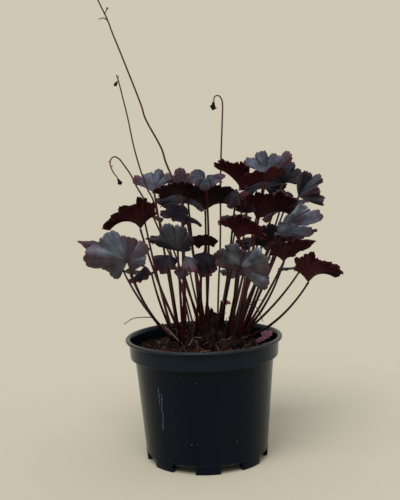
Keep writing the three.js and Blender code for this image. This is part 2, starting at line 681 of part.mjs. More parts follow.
// Full description of a leaf, with the values that its entry leaves out
function describeLeaf(entry, i) {
  const lobes = entry.reach ? entry.reach.length : USUAL_LOBES;
  const seed = i + 1;
  const reach = [];
  const lift = [];
  for (let lobe = 0; lobe < lobes; lobe += 1) {
    const share = (2 * lobe + 1) / lobes - 1;
    const spread = share === 0 ? 0 : (draw(seed, 40 + lobe) * 2 - 1) * LOBE_LENGTH_SPREAD;
    reach.push(1 - (1 - BASE_LOBE_SHARE) * share * share + spread);
    lift.push((draw(seed, lobe) * 2 - 1) * LOBE_TILT);
  }
  const usual = { reach, lift, ruffle: RUFFLE, fold: 0, bow: 0, side: 0, span: BLADE_SPAN };
  const at = new THREE.Vector3(...entry.at);
  const tip = new THREE.Vector3(...entry.tip);
  const face = new THREE.Vector3(...entry.face);
  const leaf = { ...usual, ...entry, at, tip, face, seed, lobes };
  leaf.length = at.distanceTo(tip) / bladeReach(leaf, 0);
  return leaf;
}

const leaves = LEAVES.map(describeLeaf);

addPiece("pot", makePot(), POT_COLOUR, 0.4);
addPiece("soil", makeSoil(), SOIL_COLOUR, 0.95);
addPiece("crown_and_petioles", makeCrown(leaves), STEM_COLOUR, 0.5);
for (const stalk of STALKS) addPiece(stalk.name, makeStalk(stalk), STEM_COLOUR, 0.5);
leaves.forEach((leaf, i) => {
  const name = "leaf_" + String(i + 1).padStart(2, "0");
  addPiece(name, makeBlade(leaf), leaf.pink ? PINK_BLADE_COLOUR : BLADE_COLOUR, 0.45);
});

export default group;
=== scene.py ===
"""Looks of the potted coral bells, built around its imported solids.

+Z up, -Y is the front. Sizes and places of the plant and pot are in millimetres and angles in
degrees. Camera, floor and materials are in metres.
"""
import math

import bmesh
import bpy
import numpy as np
from mathutils import Matrix, Vector, noise


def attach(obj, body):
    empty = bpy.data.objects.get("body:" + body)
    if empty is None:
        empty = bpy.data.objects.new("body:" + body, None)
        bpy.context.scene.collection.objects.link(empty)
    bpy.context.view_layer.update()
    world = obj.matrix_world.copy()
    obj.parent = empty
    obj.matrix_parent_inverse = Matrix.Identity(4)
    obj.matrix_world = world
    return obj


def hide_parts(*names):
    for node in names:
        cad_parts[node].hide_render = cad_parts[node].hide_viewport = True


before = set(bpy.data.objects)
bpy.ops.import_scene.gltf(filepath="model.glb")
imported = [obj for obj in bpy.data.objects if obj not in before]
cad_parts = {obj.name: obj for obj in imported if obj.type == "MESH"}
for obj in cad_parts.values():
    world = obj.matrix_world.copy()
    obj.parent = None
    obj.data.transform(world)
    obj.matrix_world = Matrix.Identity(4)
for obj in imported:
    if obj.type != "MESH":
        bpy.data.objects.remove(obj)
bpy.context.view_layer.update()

MM = 0.001
DEGREE = math.pi / 180
CIRCLE = 2 * math.pi

# Camera, at the photo's viewpoint
CAMERA_PLACE = (-0.0008, -0.749, 0.269)
CAMERA_PITCH = -6.3
CAMERA_ROLL = 1.9
CAMERA_LENS = 61.2
SENSOR_WIDTH = 36

# Studio. The sky turns from the backdrop's tone to the overhead one between two heights of its dome
FLOOR_RADIUS = 60
FLOOR_SIDES = 96
FLOOR = (0.4775, 0.4245, 0.3135)
BACKDROP = (0.6232, 0.5767, 0.4555)
OVERHEAD = (0.62, 0.7, 0.86)
SKY_FADE = (0.3, 0.75)
# Name, direction, power, width in degrees and tint of each light
SUNS = [
    ("key", (-0.15, -0.5, 0.85), 2.4, 40, (0.95, 0.97, 1.0)),
    ("fill", (0.9, 0.3, 0.8), 0.3, 80, (1.0, 0.97, 0.93)),
]

# Pot. Its outlines are pairs of radius and height
POT_SIDES = 160
POT_OUTLINE = [
    (1, 8.5), (1, 6.5), (50.4, 6.5), (53.9, 6.2), (54.9, 7.6), (55.5, 8.3), (55.0, 9.2), (62, 92.3),
    (65.6, 92.2), (66.1, 93), (66.9, 106.6), (69.3, 106.7), (70, 107.5), (70, 108.7), (69.2, 109.5),
    (67.2, 109.5), (66.2, 109), (65.3, 106.5), (64.2, 94.5), (60.2, 91.6), (52.8, 8.7),
]
FOOT_OUTLINE = [(50.6, 7), (50.7, 0), (54.4, 0), (55.0, 7.6)]
FOOT_COUNT = 8
FOOT_HALF_TURN = 11.4

# Pale scratches on the pot's side: place across, lowest and highest point
SCRATCHES = [(-38.0, 59, 76), (-35.7, 53, 71), (-35.2, 36, 55)]

# Soil
SOIL_RINGS = 60
SOIL_SIDES = 150
SOIL_TOP = 97
SOIL_MOUND = 4
MOUND_RADIUS = 34
SOIL_RADIUS = 63.2
SOIL_BUMP = 1.3
SOIL_CRUMBS = 1.5
SOIL_EDGE_RISE = 0.9
SOIL_SKIRT_SHARE = 0.98
SOIL_SKIRT_FOOT = 94.2

# Litter on the soil: bark chips and fibres
LITTER_SEED = 11
CHIP_COUNT = 420
CHIP_REACH = 61
CHIP_SIZES = [(0.6, 2.4), (0.4, 1.3), (0.25, 0.7)]
FIBRE_COUNT = 230
FIBRE_REACH = 59
FIBRE_END_REACH = 62
FIBRE_LENGTH = (4, 15)
FIBRE_LIFT = (0.3, 4.5)
FIBRE_RADIUS = (0.16, 0.46)

# Crown: half its width and depth, the share of them that petioles root in, and the place, radius and
# height of each lump of its wood
CROWN_X = 39
CROWN_Y = 29
ROOT_REACH = 0.78
CROWN_LUMPS = [
    (-24, -1, 10, 9), (-9, 9, 13, 13), (3, -7, 13, 17), (20, 4, 13, 12),
    (-12, -13, 10, 8), (17, -12, 10, 9), (31, -2, 6, 8), (5, 9, 10, 33), (14, 8, 7, 27),
]

# Dry stubs on the crown, and curled fibres that stand up out of it
STUB_COUNT = 9
STUB_RING = 0.55
STUB_RADII = (1.2, 0.7)
STUB_LEAST = 9
STUB_SPREAD = 6
CURL_SEED = 23
CURL_COUNT = 110
CURL_SPREAD = (36, 18)
CURL_MIDDLE = (3, 6)
CURL_FOOT = 98
CURL_STEPS = (4, 9)
CURL_STEP = (3, 6)
CURL_RADIUS = (0.28, 0.6)

# Petioles, rooted in clumps. A swelling is its height and the share of the petiole over which it fades
PETIOLE_SIDES = 12
PETIOLE_POINTS = 25
PETIOLE_RADII = (1.4, 0.8)
ROOT_SWELLING = (0.9, 0.045)
TIP_SWELLING = (0.25, 0.02)
PINK_PETIOLE_SHARE = 0.7
ROOT_SHARE = 0.17
ROOT_JITTER = 7
CLUMPS = [(-12, 7), (5, 14), (20, 12)]
CLUMP_DRIFT = 9
CLUMP_SHARE = 0.4

# Blades
BLADE_THICKNESS = 0.55
RIM_THINNING = 0.45
BLADE_SPAN = 145
BASE_LOBE_SHARE = 0.74
LOBE_ROUNDING = 0.06
SINUS_DEPTH = 0.11
LOBE_WIDENING = 0.5
TOOTH_DEPTH = 0.04
TEETH_PER_LOBE = 5
RUFFLE = -2
CREASE_LEAST = 0.2
CREASE_SPREAD = 1.3
FRILL = 2.5
FINE_FRILL = 0.8
FRILL_ONSET = 3.5
LOBE_TILT = 10
FLARE = 12
LOBE_LENGTH_SPREAD = 0.1
STEPS_PER_LOBE = 30
RINGS = 12
RING_CROWDING = 0.85


def row(at, tip, face, cup, **more):
    return dict(at=at, tip=tip, face=face, cup=cup, **more)


# Each leaf: top of its petiole, tip of its middle lobe, the way its top faces, cupping in degrees.
# Where it differs from the rest, also the ruffle, half the angle that its lobes span, the flare of its
# rim, the reach and the lift of each lobe, the fold of its sides, how far its petiole bows outward and
# swings aside, the petiole's root, and pink.
LEAVES = [
    row([-61, -48, 184], [-59, -50, 205], [-1, -9, 4], 0, ruffle=-3.5, span=155, flare=8,
        reach=[1, 1.7, 1.38, 0.97, 1, 0.7, 0.45], lift=[-6, 15, -2, 2, -4, 8, -4], bow=20),
    row([-78, 52, 173], [-118, 62, 192], [0, -2, 10], 12, span=95, fold=35,
        reach=[0.4, 0.5, 1, 0.5, 0.4], bow=15),
    row([-51, -26, 209], [-57, -38, 230], [2, 6, 5], 50, ruffle=1.5, span=72, flare=34,
        reach=[0.85, 1.2, 1.42, 1, 1.12, 1.14, 1.32], lift=[14, 6, 2, 4, 0, -16, -28], bow=6),
    row([-40, 12, 238], [-41, 24, 253], [-1, -8, 5], 12, ruffle=-4, span=56, reach=[1.02, 1, 1, 1.02],
        lift=[6, -3, 3, -5]),
    row([-10, -11, 233], [-24, -27, 247], [1, 6, 6.5], 38, ruffle=1.5, span=74, flare=24,
        reach=[0.7, 0.85, 0.9, 1, 1.1, 1.25, 1], lift=[0, 0, 2, 2, 0, -2, -2], bow=2),
    row([-16, 31, 237], [-17, 37, 259], [1, -8, 4], 14, span=55, reach=[0.75, 1, 0.85]),
    row([6, -30, 249], [5, -41, 240], [0, -8, 6], 30, span=170, flare=26,
        reach=[0.8, 1.2, 1.1, 1, 1.1, 1.1, 1.3], lift=[0, 8, -4, -30, -4, 0, 6], side=7),
    row([5, -8, 222], [15, -26, 245], [0, 6, 5.5], 46, ruffle=1.5, span=84, flare=30,
        reach=[1.12, 1.12, 1.08, 1, 0.95, 0.88, 0.8], lift=[-2, 0, 0, 2, 2, 0, 4]),
    row([32, -24, 240], [25, -30, 224], [-1, -8, 4], 8, span=38, reach=[0.8, 1, 0.85], lift=[-6, 6, -4]),
    row([38, -17, 238], [31, -31, 263], [1.5, 6, 6], 40, ruffle=1.5, span=44, flare=22,
        reach=[0.55, 0.85, 1, 1, 1.08, 1.2, 1.2], lift=[8, 6, 2, 2, 2, 4, 6]),
    row([61, 20, 248], [64, 34, 265], [0, -8, 6], 16, ruffle=-4, span=58, reach=[1, 1, 1.02, 1.12],
        lift=[-6, 4, -6, 22], bow=2),
    row([77, 34, 242], [86, 46, 262], [-2, -7, 6], 14, span=90, reach=[0.6, 0.9, 1, 0.85, 0.6], bow=2),
    row([87, -4, 231], [106, -16, 249], [-2, -8, 4], 10, ruffle=-3, span=60,
        reach=[0.76, 0.86, 1, 0.92, 0.92], lift=[-4, 8, -8, 10, -6], bow=4),
    row([55, -22, 246], [55, -30, 254], [0, 2, 9], 14, ruffle=1.5, span=120, flare=10,
        reach=[0.5, 1.9, 1.5, 1, 1.2, 1.7, 1.3], side=7),
    row([49, -23, 213], [59, -39, 236], [1, 6, 5.5], 48, ruffle=1.5, span=64, flare=32,
        reach=[1.15, 1.35, 1.25, 1, 1, 0.92, 0.82], lift=[-6, -2, 0, 2, 2, 0, 2], bow=2),
    row([69, -30, 204], [102, -44, 217], [-1, -7, 7], 8, span=75, reach=[0.45, 0.78, 1, 0.68, 0.45],
        lift=[-4, 8, -8, 10, -6], bow=4),
    row([63, -50, 204], [92, -60, 204], [0, -5, 8], 12, span=90, fold=30,
        reach=[0.35, 0.55, 1, 0.55, 0.35], bow=4),
    row([68, -52, 180], [71, -65, 198], [-1, 6, 5.5], 46, ruffle=1.5, span=74, flare=30,
        reach=[0.5, 1.5, 1.2, 1, 1.02, 1.1, 0.66], lift=[0, -8, 0, 2, 2, 4, 8], bow=18, root=(27, 17)),
    row([89, -44, 161], [98, -57, 181], [-1, 6, 5.5], 48, ruffle=1.5, span=78, flare=30,
        reach=[1.22, 1.15, 1.06, 1, 1.32, 1.15, 0.74], lift=[-6, -4, 0, 2, 2, 4, 8], bow=18, root=(29, 16)),
    row([31, -66, 178], [36, -69, 192], [0, -8, 5], 2, ruffle=-3, span=122, flare=6,
        reach=[1.45, 1.6, 1.5, 0.98, 2.1, 1.6, 1.8], lift=[-6, 16, 2, -18, 12, -4, 6]),
    row([-19, -62, 193], [-15, -68, 214], [0, -9, 4], 8, ruffle=-5, span=85,
        reach=[0.92, 1.12, 1, 0.85, 0.5], lift=[10, -4, -6, 6, -6], bow=4),
    row([-10, -32, 219], [-33, -42, 222], [0, -3, 9], 8, span=110, reach=[0.85, 0.75, 1, 0.75, 0.85], bow=2),
    row([4, -36, 194], [3, -48, 204], [0, 4, 9], 30, ruffle=1.5, span=120, flare=26,
        reach=[0.5, 0.75, 0.9, 1, 1, 0.85, 0.5], side=-3),
    row([-28, -47, 188], [-32, -55, 173], [-2, -9, 2], 8, span=80, reach=[0.6, 0.8, 1, 0.9, 0.7], bow=2),
    row([-43, -28, 171], [-62, -36, 165], [0, -2, 10], 8, span=90, fold=30,
        reach=[0.5, 0.7, 1, 0.7, 0.5], bow=9),
    row([2, -44, 189], [1, -52, 169], [0, -9, 3], 6, span=75, flare=16,
        reach=[0.75, 0.9, 1, 0.75, 0.45], side=-7),
    row([-13, -68, 189], [-5, -74, 177], [3, -8, 3], 6, span=48, reach=[0.75, 1, 0.75]),
    row([31, -38, 198], [40, -52, 217], [0, 6, 5.5], 48, ruffle=1.5, span=66, flare=32,
        reach=[1, 0.95, 0.95, 1, 1.08, 1.08, 0.98], lift=[-14, -4, 0, 2, 2, 0, 2]),
    row([60, -12, 189], [63, -20, 209], [0, -6, 7], 12, span=100, reach=[0.7, 0.8, 0.9, 0.8, 0.7], bow=2),
    row([74, 18, 222], [74, 24, 237], [0, -8, 5], 12, span=100, reach=[0.8, 0.9, 1, 0.9, 0.8], bow=2),
    row([53, 6, 105], [61, 0, 107], [1, -5, 9], 10, span=130, reach=[0.9, 1, 1, 1, 0.9], bow=5, pink=True),
    row([-15, 46, 226], [-18, 72, 238], [0, 4, 8], 14, bow=2),
    row([80, 54, 216], [92, 76, 224], [1, 5, 8], 12, bow=4),
    row([60, 52, 237], [66, 76, 246], [1, 4, 9], 12, bow=2),
    row([-52, 40, 215], [-64, 60, 221], [-2, 5, 8], 12, bow=4),
    row([-64, 10, 165], [-88, 14, 172], [-2, 2, 9], 12, reach=[1, 1, 1, 0.6, 0.5], bow=8),
    row([42, 62, 154], [49, 88, 160], [1, 6, 8], 14, bow=8),
    row([87, 40, 190], [104, 55, 196], [2, 4, 9], 12, bow=8),
    row([90, 16, 164], [112, 26, 168], [3, 2, 9], 12, bow=10),
    row([-28, 54, 188], [-34, 78, 194], [-1, 5, 8], 14),
    row([-11, 64, 158], [-14, 89, 162], [0, 6, 8], 14, bow=8),
    row([54, 60, 183], [57, 81, 190], [1, 5, 8], 14, bow=4),
    row([34, 44, 206], [33, 62, 212], [0, 5, 8], 16),
]

# Three small leaves between the large ones. The second one is young and crimson
SMALL_LEAVES = [
    row([40, -22, 219], [38, -30, 238], [-3, -8, 3], 30, span=75, flare=30, reach=[0.5, 0.9, 1, 0.8, 0.5],
        lift=[20, -14, 16, -18, 12]),
    row([17, 0, 140], [25, -4, 138], [0, -2, 9], 14, span=70, reach=[0.6, 0.8, 1, 0.7, 0.5]),
    row([-16, -52, 178], [-18, -54, 168], [-1, -9, 3], 6, span=60, reach=[0.8, 1, 0.8]),
]
YOUNG_LEAF = len(LEAVES) + 2

# Look of each blade that shows in front: how pale with bloom its top is, which also paints light and shade
# (low for blades that sit in shade, above 1 for the brightest lit ones), how rosy, how red its underside
TONES = {
    1: (0.82, 0.5, 0.2), 2: (0.15, 1.0, 0.3), 3: (0.3, 0.4, 0.6), 4: (0.72, 0.65, 0.2), 5: (0.3, 0.3, 0.3),
    6: (0.3, 0.8, 0.3), 7: (0.6, 0.6, 0.4), 8: (0.3, 0.3, 0.0), 9: (0.15, 0.2, 0.2), 10: (0.3, 0.3, 0.7),
    11: (0.9, 0.75, 0.5), 12: (0.12, 0.1, 0.2), 13: (0.5, 0.35, 0.2), 14: (0.2, 0.3, 0.5),
    15: (0.3, 0.3, 0.55), 16: (1.4, 0.75, 0.2), 17: (0.3, 0.2, 0.3), 18: (0.3, 0.3, 0.6),
    19: (0.3, 0.3, 0.55), 20: (2.0, 0.6, 0.3), 21: (0.45, 0.1, 0.2), 22: (0.03, 0.1, 0.2),
    23: (0.2, 0.2, 0.2), 24: (0.12, 0.2, 0.2), 25: (0.0, 1.3, 0.4), 26: (0.04, 0.2, 0.1),
    27: (0.7, 0.9, 0.2), 28: (0.3, 0.3, 0.9), 29: (0.08, 0.1, 0.2), 30: (0.1, 0.1, 0.2),
    44: (0.12, 0.5, 0.2), 46: (0.5, 0.1, 0.2),
}

# Lobe by lobe, for the tops that show best: how pale and how rosy against the rest of the leaf, partly the
# leaf's own pattern and partly painted light and shade of lobes that face towards or away from the light
LOBE_TONES = {
    1: ([0.9, 0.8, 1.2, 0.5, 0.8, 0.8, 0.7], [0.2, 0.9, 0.0, 0.6, 0.8, 0.4, 0.6]),
    4: ([0.8, 1.0, 1.0, 0.7], [0.9, 0.15, 0.15, 0.6]),
    7: ([0.3, 0.5, 0.9, 1.1, 0.9, 0.7, 0.3], [0.4, 1.6, 0.5, 0.1, 0.5, 0.7, 1.6]),
    11: ([0.8, 0.65, 0.6, 0.6], [0.5, 0.7, 0.8, 0.8]),
    13: ([0.9, 0.2, 1.1, 0.8, 0.6], [0.1, 0.2, 0.1, 1.8, 0.8]),
    16: ([0.8, 1.5, 0.3, 1.5, 0.1], [0.4, 0.0, 0.5, 0.1, 2.0]),
    20: ([0.6, 1.3, 1.3, 0.1, 1.2, 0.6, 0.9], [1.2, 0.2, 0.0, 0.7, 0.0, 1.2, 0.6]),
    21: ([0.3, 0.9, 1.1, 0.7, 0.8], [0.3, 0.1, 0.1, 0.2, 0.2]),
}

# Flower stalks from the crown up: root and tip radius, path, and twigs with the radius of their bud
STALKS = {
    "flower_stalk_tall": dict(
        radii=(1.1, 0.5),
        path=[
            (2, 3, 102), (-3, 1, 150), (-10, 0, 204), (-16, 0, 231), (-21, 0, 246), (-28, -1, 264),
            (-32, -2, 278), (-44, -4, 302), (-48, -5, 316), (-61, -8, 353), (-69, -10, 375),
            (-73, -11, 387), (-80, -12, 403), (-84, -12, 417), (-86, -12, 437),
        ],
        twigs=[
            ([(-73, -11, 386), (-76, -11, 388), (-80, -12, 387)], 0),
            ([(-75, -11, 391), (-73, -11, 395)], 0.9),
            ([(-82, -12, 409), (-87, -11, 413), (-90, -11, 411)], 1.2),
            ([(-85, -12, 424), (-82, -13, 429), (-80, -13, 428)], 1.1),
            ([(-86, -12, 432), (-89, -12, 437), (-92, -12, 436)], 1.1),
        ],
    ),
    "flower_stalk_left": dict(
        radii=(0.9, 0.52),
        path=[
            (-9, -2, 99), (-16, -5, 143), (-26, -8, 184), (-35, -9, 213), (-40, -9, 232), (-45, -10, 243),
            (-50, -11, 259), (-55, -12, 280), (-59, -13, 304), (-65, -14, 333), (-67, -14, 340),
        ],
        twigs=[
            ([(-65, -14, 335), (-66.3, -14, 334.6), (-67, -14, 333.6)], 1.7),
            ([(-66, -14, 337), (-65.4, -14, 338.4)], 0.4),
        ],
    ),
    "flower_stalk_hooked_left": dict(
        radii=(0.9, 0.52),
        path=[
            (-6, 12, 101), (-17, 22, 147), (-34, 30, 193), (-47, 34, 224), (-57, 34, 243), (-62, 34, 254),
            (-69, 33, 265), (-72, 32, 269), (-76, 31, 271), (-79, 30, 269), (-80, 29, 265), (-78, 29, 258),
            (-74, 29, 252),
        ],
        twigs=[
            ([(-74, 29, 252), (-73, 29, 249.8)], 2.3),
            ([(-79.3, 29.4, 266.5), (-81.5, 29, 267)], 0),
            ([(-79.3, 29, 262), (-77.5, 29, 263)], 0),
        ],
    ),
    "flower_stalk_hooked_right": dict(
        radii=(0.95, 0.52),
        path=[
            (12, 8, 99), (15, 26, 146), (18, 30, 187), (20, 32, 242), (21, 32, 265), (23, 32, 296),
            (24, 32, 315), (22.5, 32, 321), (20, 32, 323), (17, 32, 322), (16, 32, 318),
        ],
        twigs=[([(16, 32, 318), (15.8, 32, 316)], 2.8)],
    ),
}

# Withered sepals round each bud
BUD_SEPALS = 5

# Dried stems, thin as threads. The first ones are thicker and paler
THICK_THREADS = 2
THREADS = [
    [(-17, -17, 100), (-13.5, -17, 104), (-9.5, -17, 110)],
    [(-37, 0, 121), (-30, -5, 115), (-24, -9, 109), (-17, -12, 102)],
    [(-24, -4, 98), (-36, -5, 118), (-43, -6, 127), (-51, -8, 129), (-62, -10, 128.5), (-70, -12, 124)],
    [(24, -6, 98), (30, -6, 120), (37, -8, 135), (44, -10, 140), (52, -12, 142)],
    [(26, 4, 98), (31, 2, 116), (38, 0, 134), (46, -2, 135), (51, -4, 127), (53, -5, 121)],
]


def draw(seed, index):
    """Repeatable number from 0 to 1 for a pair of whole numbers."""
    wave = math.sin(seed * 12.9898 + index * 78.233) * 43758.5453
    return wave - math.floor(wave)


def swing(seed, index):
    """Repeatable number from -1 to 1 for a pair of whole numbers."""
    return draw(seed, index) * 2 - 1


def disc_point(random, reach):
    """Point drawn evenly from a disc round the middle."""
    far, turn = reach * math.sqrt(random.random()), random.random() * CIRCLE
    return far * math.cos(turn), far * math.sin(turn)


def unit(vector):
    return vector / np.linalg.norm(vector)


def eased(x):
    x = np.clip(x, 0, 1)
    return x * x * (3 - 2 * x)


def add_object(name, data):
    made = bpy.data.objects.new(name, data)
    bpy.context.scene.collection.objects.link(made)
    return made


def add_values(mesh, name, values):
    """Gives each point of a mesh three values that the materials read."""
    made = mesh.attributes.new(name, "FLOAT_VECTOR", "POINT")
    made.data.foreach_set("vector", values.astype(np.float32).ravel())


class Solid:
    """Gathers points in millimetres and faces, each point with three shading values, and makes one piece."""

    def __init__(self):
        self.points = []
        self.values = []
        self.faces = []
        self.slots = []
        self.count = 0

    def add(self, points, faces, values=(0, 0, 0), slot=0):
        points = np.asarray(points, float).reshape(-1, 3)
        self.points.append(points)
        self.values.append(np.broadcast_to(np.asarray(values, float), points.shape))
        self.faces.extend([tuple(i + self.count for i in face) for face in faces])
        self.slots.extend([slot] * len(faces))
        self.count += len(points)

    def make(self, name, materials, nodes=()):
        mesh = bpy.data.meshes.new(name)
        points = np.concatenate(self.points) * MM
        mesh.from_pydata(points.tolist(), [], self.faces)
        mesh.polygons.foreach_set("material_index", self.slots)
        mesh.polygons.foreach_set("use_smooth", [True] * len(self.faces))
        add_values(mesh, "shade", np.concatenate(self.values))
        mesh.update()
        piece = add_object(name, mesh)
        for material in materials:
            mesh.materials.append(material)
        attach(piece, "root")
        if nodes:
            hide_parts(*nodes)
        return piece


# Materials


class Tree:
    """Short way to write the nodes of a material or a sky."""

    def __init__(self, name, kind="materials", shader="Principled BSDF"):
        self.owner = getattr(bpy.data, kind).new(name)
        self.owner.use_nodes = True
        self.tree = self.owner.node_tree
        self.shader = self.tree.nodes[shader]

    def node(self, kind, inputs=None, **settings):
        made = self.tree.nodes.new("ShaderNode" + kind)
        for key, value in settings.items():
            setattr(made, key, value)
        for key, value in (inputs or {}).items():
            self.put(made.inputs[key], value)
        return made

    def put(self, socket, value):
        if isinstance(value, bpy.types.NodeSocket):
            self.tree.links.new(value, socket)
        else:
            socket.default_value = value

    def set(self, **values):
        for key, value in values.items():
            self.put(self.shader.inputs[key.replace("_", " ")], value)

    def look(self, base, rough, shine):
        self.set(Base_Color=base, Roughness=rough, Specular_IOR_Level=shine)

    def math(self, operation, a, b=0.0):
        return self.node("Math", {0: a, 1: b}, operation=operation).outputs[0]

    def times(self, a, b):
        return self.math("MULTIPLY", a, b)

    def plus(self, a, b):
        return self.math("ADD", a, b)

    def gap(self, a, b):
        return self.math("ABSOLUTE", self.math("SUBTRACT", a, b))

    def band(self, value, low, high, start=0.0, end=1.0):
        """Eased step from start to end as value goes from low to high."""
        made = self.node(
            "MapRange",
            {"Value": value, "From Min": low, "From Max": high, "To Min": start, "To Max": end},
            interpolation_type="SMOOTHSTEP",
        )
        return made.outputs[0]

    def mix(self, share, a, b):
        made = self.node("Mix", data_type="RGBA")
        self.put(made.inputs[0], share)
        self.put(made.inputs[6], a)
        self.put(made.inputs[7], b)
        return made.outputs[2]

    def place(self, stretch=(1, 1, 1)):
        """Position on the piece in metres, stretched along each axis."""
        found = self.node("TexCoord").outputs["Object"]
        return self.node("Mapping", {"Vector": found, "Scale": stretch}).outputs[0]

    def noise(self, scale, detail=3.0, rough=0.55, stretch=(1, 1, 1), shift=0.0):
        inputs = {"Vector": self.place(stretch), "W": shift}
        inputs.update({"Scale": scale, "Detail": detail, "Roughness": rough})
        return self.node("TexNoise", inputs, noise_dimensions="4D").outputs["Fac"]

    def values(self, name="shade"):
        """The three values that the piece's points have under a name."""
        found = self.node("Attribute", attribute_name=name).outputs["Vector"]
        return self.node("SeparateXYZ", {0: found}).outputs

    def bump(self, height, depth, strength=1.0):
        inputs = {"Height": height, "Distance": depth, "Strength": strength}
        self.put(self.shader.inputs["Normal"], self.node("Bump", inputs).outputs[0])


def colour(red, green, blue):
    """Shader colour from display values of 0 to 255."""
    parts = [value / 255 for value in (red, green, blue)]
    return tuple(p / 12.92 if p < 0.04045 else ((p + 0.055) / 1.055) ** 2.4 for p in parts) + (1,)


def pot_material():
    t = Tree("pot_plastic")
    drift = t.noise(14, 4, 0.6)
    flow = t.noise(34, 3, 0.6, (1, 1, 0.06), 4.0)
    scratch = t.band(t.noise(160, 3, 0.6, (9, 9, 0.35)), 0.66, 0.72)
    patch = t.band(t.noise(22, 2, 0.5, shift=3.0), 0.54, 0.66)
    scuff = t.times(scratch, patch)
    x, y, z = t.node("SeparateXYZ", {0: t.place()}).outputs
    bent = t.plus(x, t.times(t.noise(60, 2), 0.004))
    broken = t.times(t.band(t.noise(300, 2), 0.35, 0.5), t.band(y, -0.01, -0.02))
    for across, low, high in SCRATCHES:
        line = t.band(t.gap(bent, across * MM), 0.0005, 0.0001)
        away = t.gap(z, (low + high) / 2 * MM)
        line = t.times(line, t.band(away, (high - low) / 2 * MM, (high - low) / 3 * MM))
        scuff = t.math("MAXIMUM", scuff, t.times(line, broken))
    dust = t.band(t.noise(420, 2, 0.5, shift=7.0), 0.7, 0.76)
    base = t.mix(t.band(flow, 0.3, 0.7), colour(3, 6, 14), colour(9, 14, 24))
    far = t.math("SQRT", t.plus(t.times(x, x), t.times(y, y)))
    outside = t.band(far, 0.0652, 0.0656)
    above_step, below_lip, lip = t.band(z, 0.091, 0.094), t.band(z, 0.1062, 0.1048), t.band(z, 0.1066, 0.1084)
    rim = t.times(t.times(above_step, outside), below_lip)
    base = t.mix(t.times(rim, 0.4), base, colour(26, 37, 50))
    # The lip turns a paler grey: partly wear and partly a painted highlight along its edge.
    base = t.mix(t.times(lip, 0.5), base, colour(50, 52, 51))
    base = t.mix(t.times(scuff, 0.5), base, colour(104, 122, 142))
    base = t.mix(t.times(dust, 0.4), base, colour(124, 120, 110))
    t.look(base, t.band(drift, 0.25, 0.75, 0.19, 0.27), 0.14)
    t.set(Specular_Tint=(0.6, 0.85, 1.0, 1.0))
    t.bump(t.plus(t.times(t.noise(900, 2), 0.15), scuff), 0.00012, 0.5)
    return t.owner


def soil_material():
    t = Tree("potting_mix")
    crumbs = t.node("TexVoronoi", {"Vector": t.place(), "Scale": 520.0}).outputs
    coarse = t.noise(70, 5, 0.65)
    red = t.band(t.noise(48, 3, 0.5, shift=2.0), 0.52, 0.68)
    base = t.mix(t.band(coarse, 0.35, 0.65), colour(10, 8, 8), colour(33, 24, 19))
    base = t.mix(t.times(red, 0.35), base, colour(66, 34, 22))
    grain = t.node("SeparateColor", {0: crumbs["Color"]}).outputs[0]
    base = t.mix(t.times(t.band(grain, 0.86, 1.0), 0.5), base, colour(96, 72, 50))
    t.look(base, 0.9, 0.1)
    height = t.plus(t.times(coarse, 2.0), crumbs["Distance"])
    t.bump(height, 0.0012)
    return t.owner


def debris_material():
    """Chips and fibres: the first shading value picks the colour of each."""
    t = Tree("bark_and_fibres")
    kind = t.values()[0]
    ramp = t.node("ValToRGB", {"Fac": kind})
    stops = [
        (0.0, (14, 10, 9)), (0.4, (38, 24, 18)), (0.65, (108, 50, 26)), (0.85, (136, 94, 58)),
        (1.0, (160, 142, 114)),
    ]
    elements = ramp.color_ramp.elements
    while len(elements) < len(stops):
        elements.new(0.5)
    for element, (at, shade) in zip(elements, stops):
        element.position = at
        element.color = colour(*shade)
    worn = t.band(t.noise(700, 3), 0.3, 0.7)
    t.look(t.mix(worn, colour(20, 14, 11), ramp.outputs[0]), 0.8, 0.12)
    t.bump(t.noise(1500, 2), 0.0003)
    return t.owner


def stem_material(name, dark, light, root, gloss):
    """Petiole or stalk skin: first shading value runs from root to tip, the second differs by stem."""
    t = Tree(name)
    along, own, _ = t.values()
    base = t.mix(own, dark, light)
    base = t.mix(t.times(t.band(along, 0.22, 0.0), 0.65), base, root)
    streak = t.band(t.noise(240, 3, 0.5, (1, 1, 0.12)), 0.35, 0.7)
    base = t.mix(t.times(streak, 0.4), base, light)
    t.look(base, gloss, 0.2)
    t.bump(t.noise(900, 2, 0.5, (1, 1, 0.15)), 0.0002, 0.5)
    return t.owner


def crown_material():
    t = Tree("crown_bark")
    scales = t.node("TexVoronoi", {"Vector": t.place((1, 1, 0.5)), "Scale": 260.0}).outputs["Distance"]
    rough = t.noise(150, 5, 0.65)
    base = t.mix(t.band(rough, 0.35, 0.65), colour(11, 8, 8), colour(36, 22, 19))
    base = t.mix(t.times(t.band(scales, 0.5, 0.8), 0.4), base, colour(66, 42, 31))
    t.look(base, 0.85, 0.1)
    t.bump(t.plus(scales, rough), 0.0012)
    return t.owner


def dry_material():
    t = Tree("dry_stems")
    along, own, _ = t.values()
    base = t.mix(own, colour(44, 27, 21), colour(122, 106, 88))
    base = t.mix(t.band(t.noise(500, 3), 0.45, 0.7), base, colour(34, 22, 18))
    base = t.mix(t.band(along, 0.25, 0.0), base, colour(24, 16, 14))
    t.look(base, 0.75, 0.15)
    t.bump(t.noise(900, 3, 0.6, (1, 1, 0.2)), 0.0003)
    return t.owner


def bud_material():
    t = Tree("dry_buds")
    base = t.mix(t.band(t.noise(600, 4), 0.35, 0.65), colour(9, 6, 5), colour(34, 18, 14))
    t.look(base, 0.8, 0.1)
    t.bump(t.noise(900, 4), 0.0006)
    return t.owner


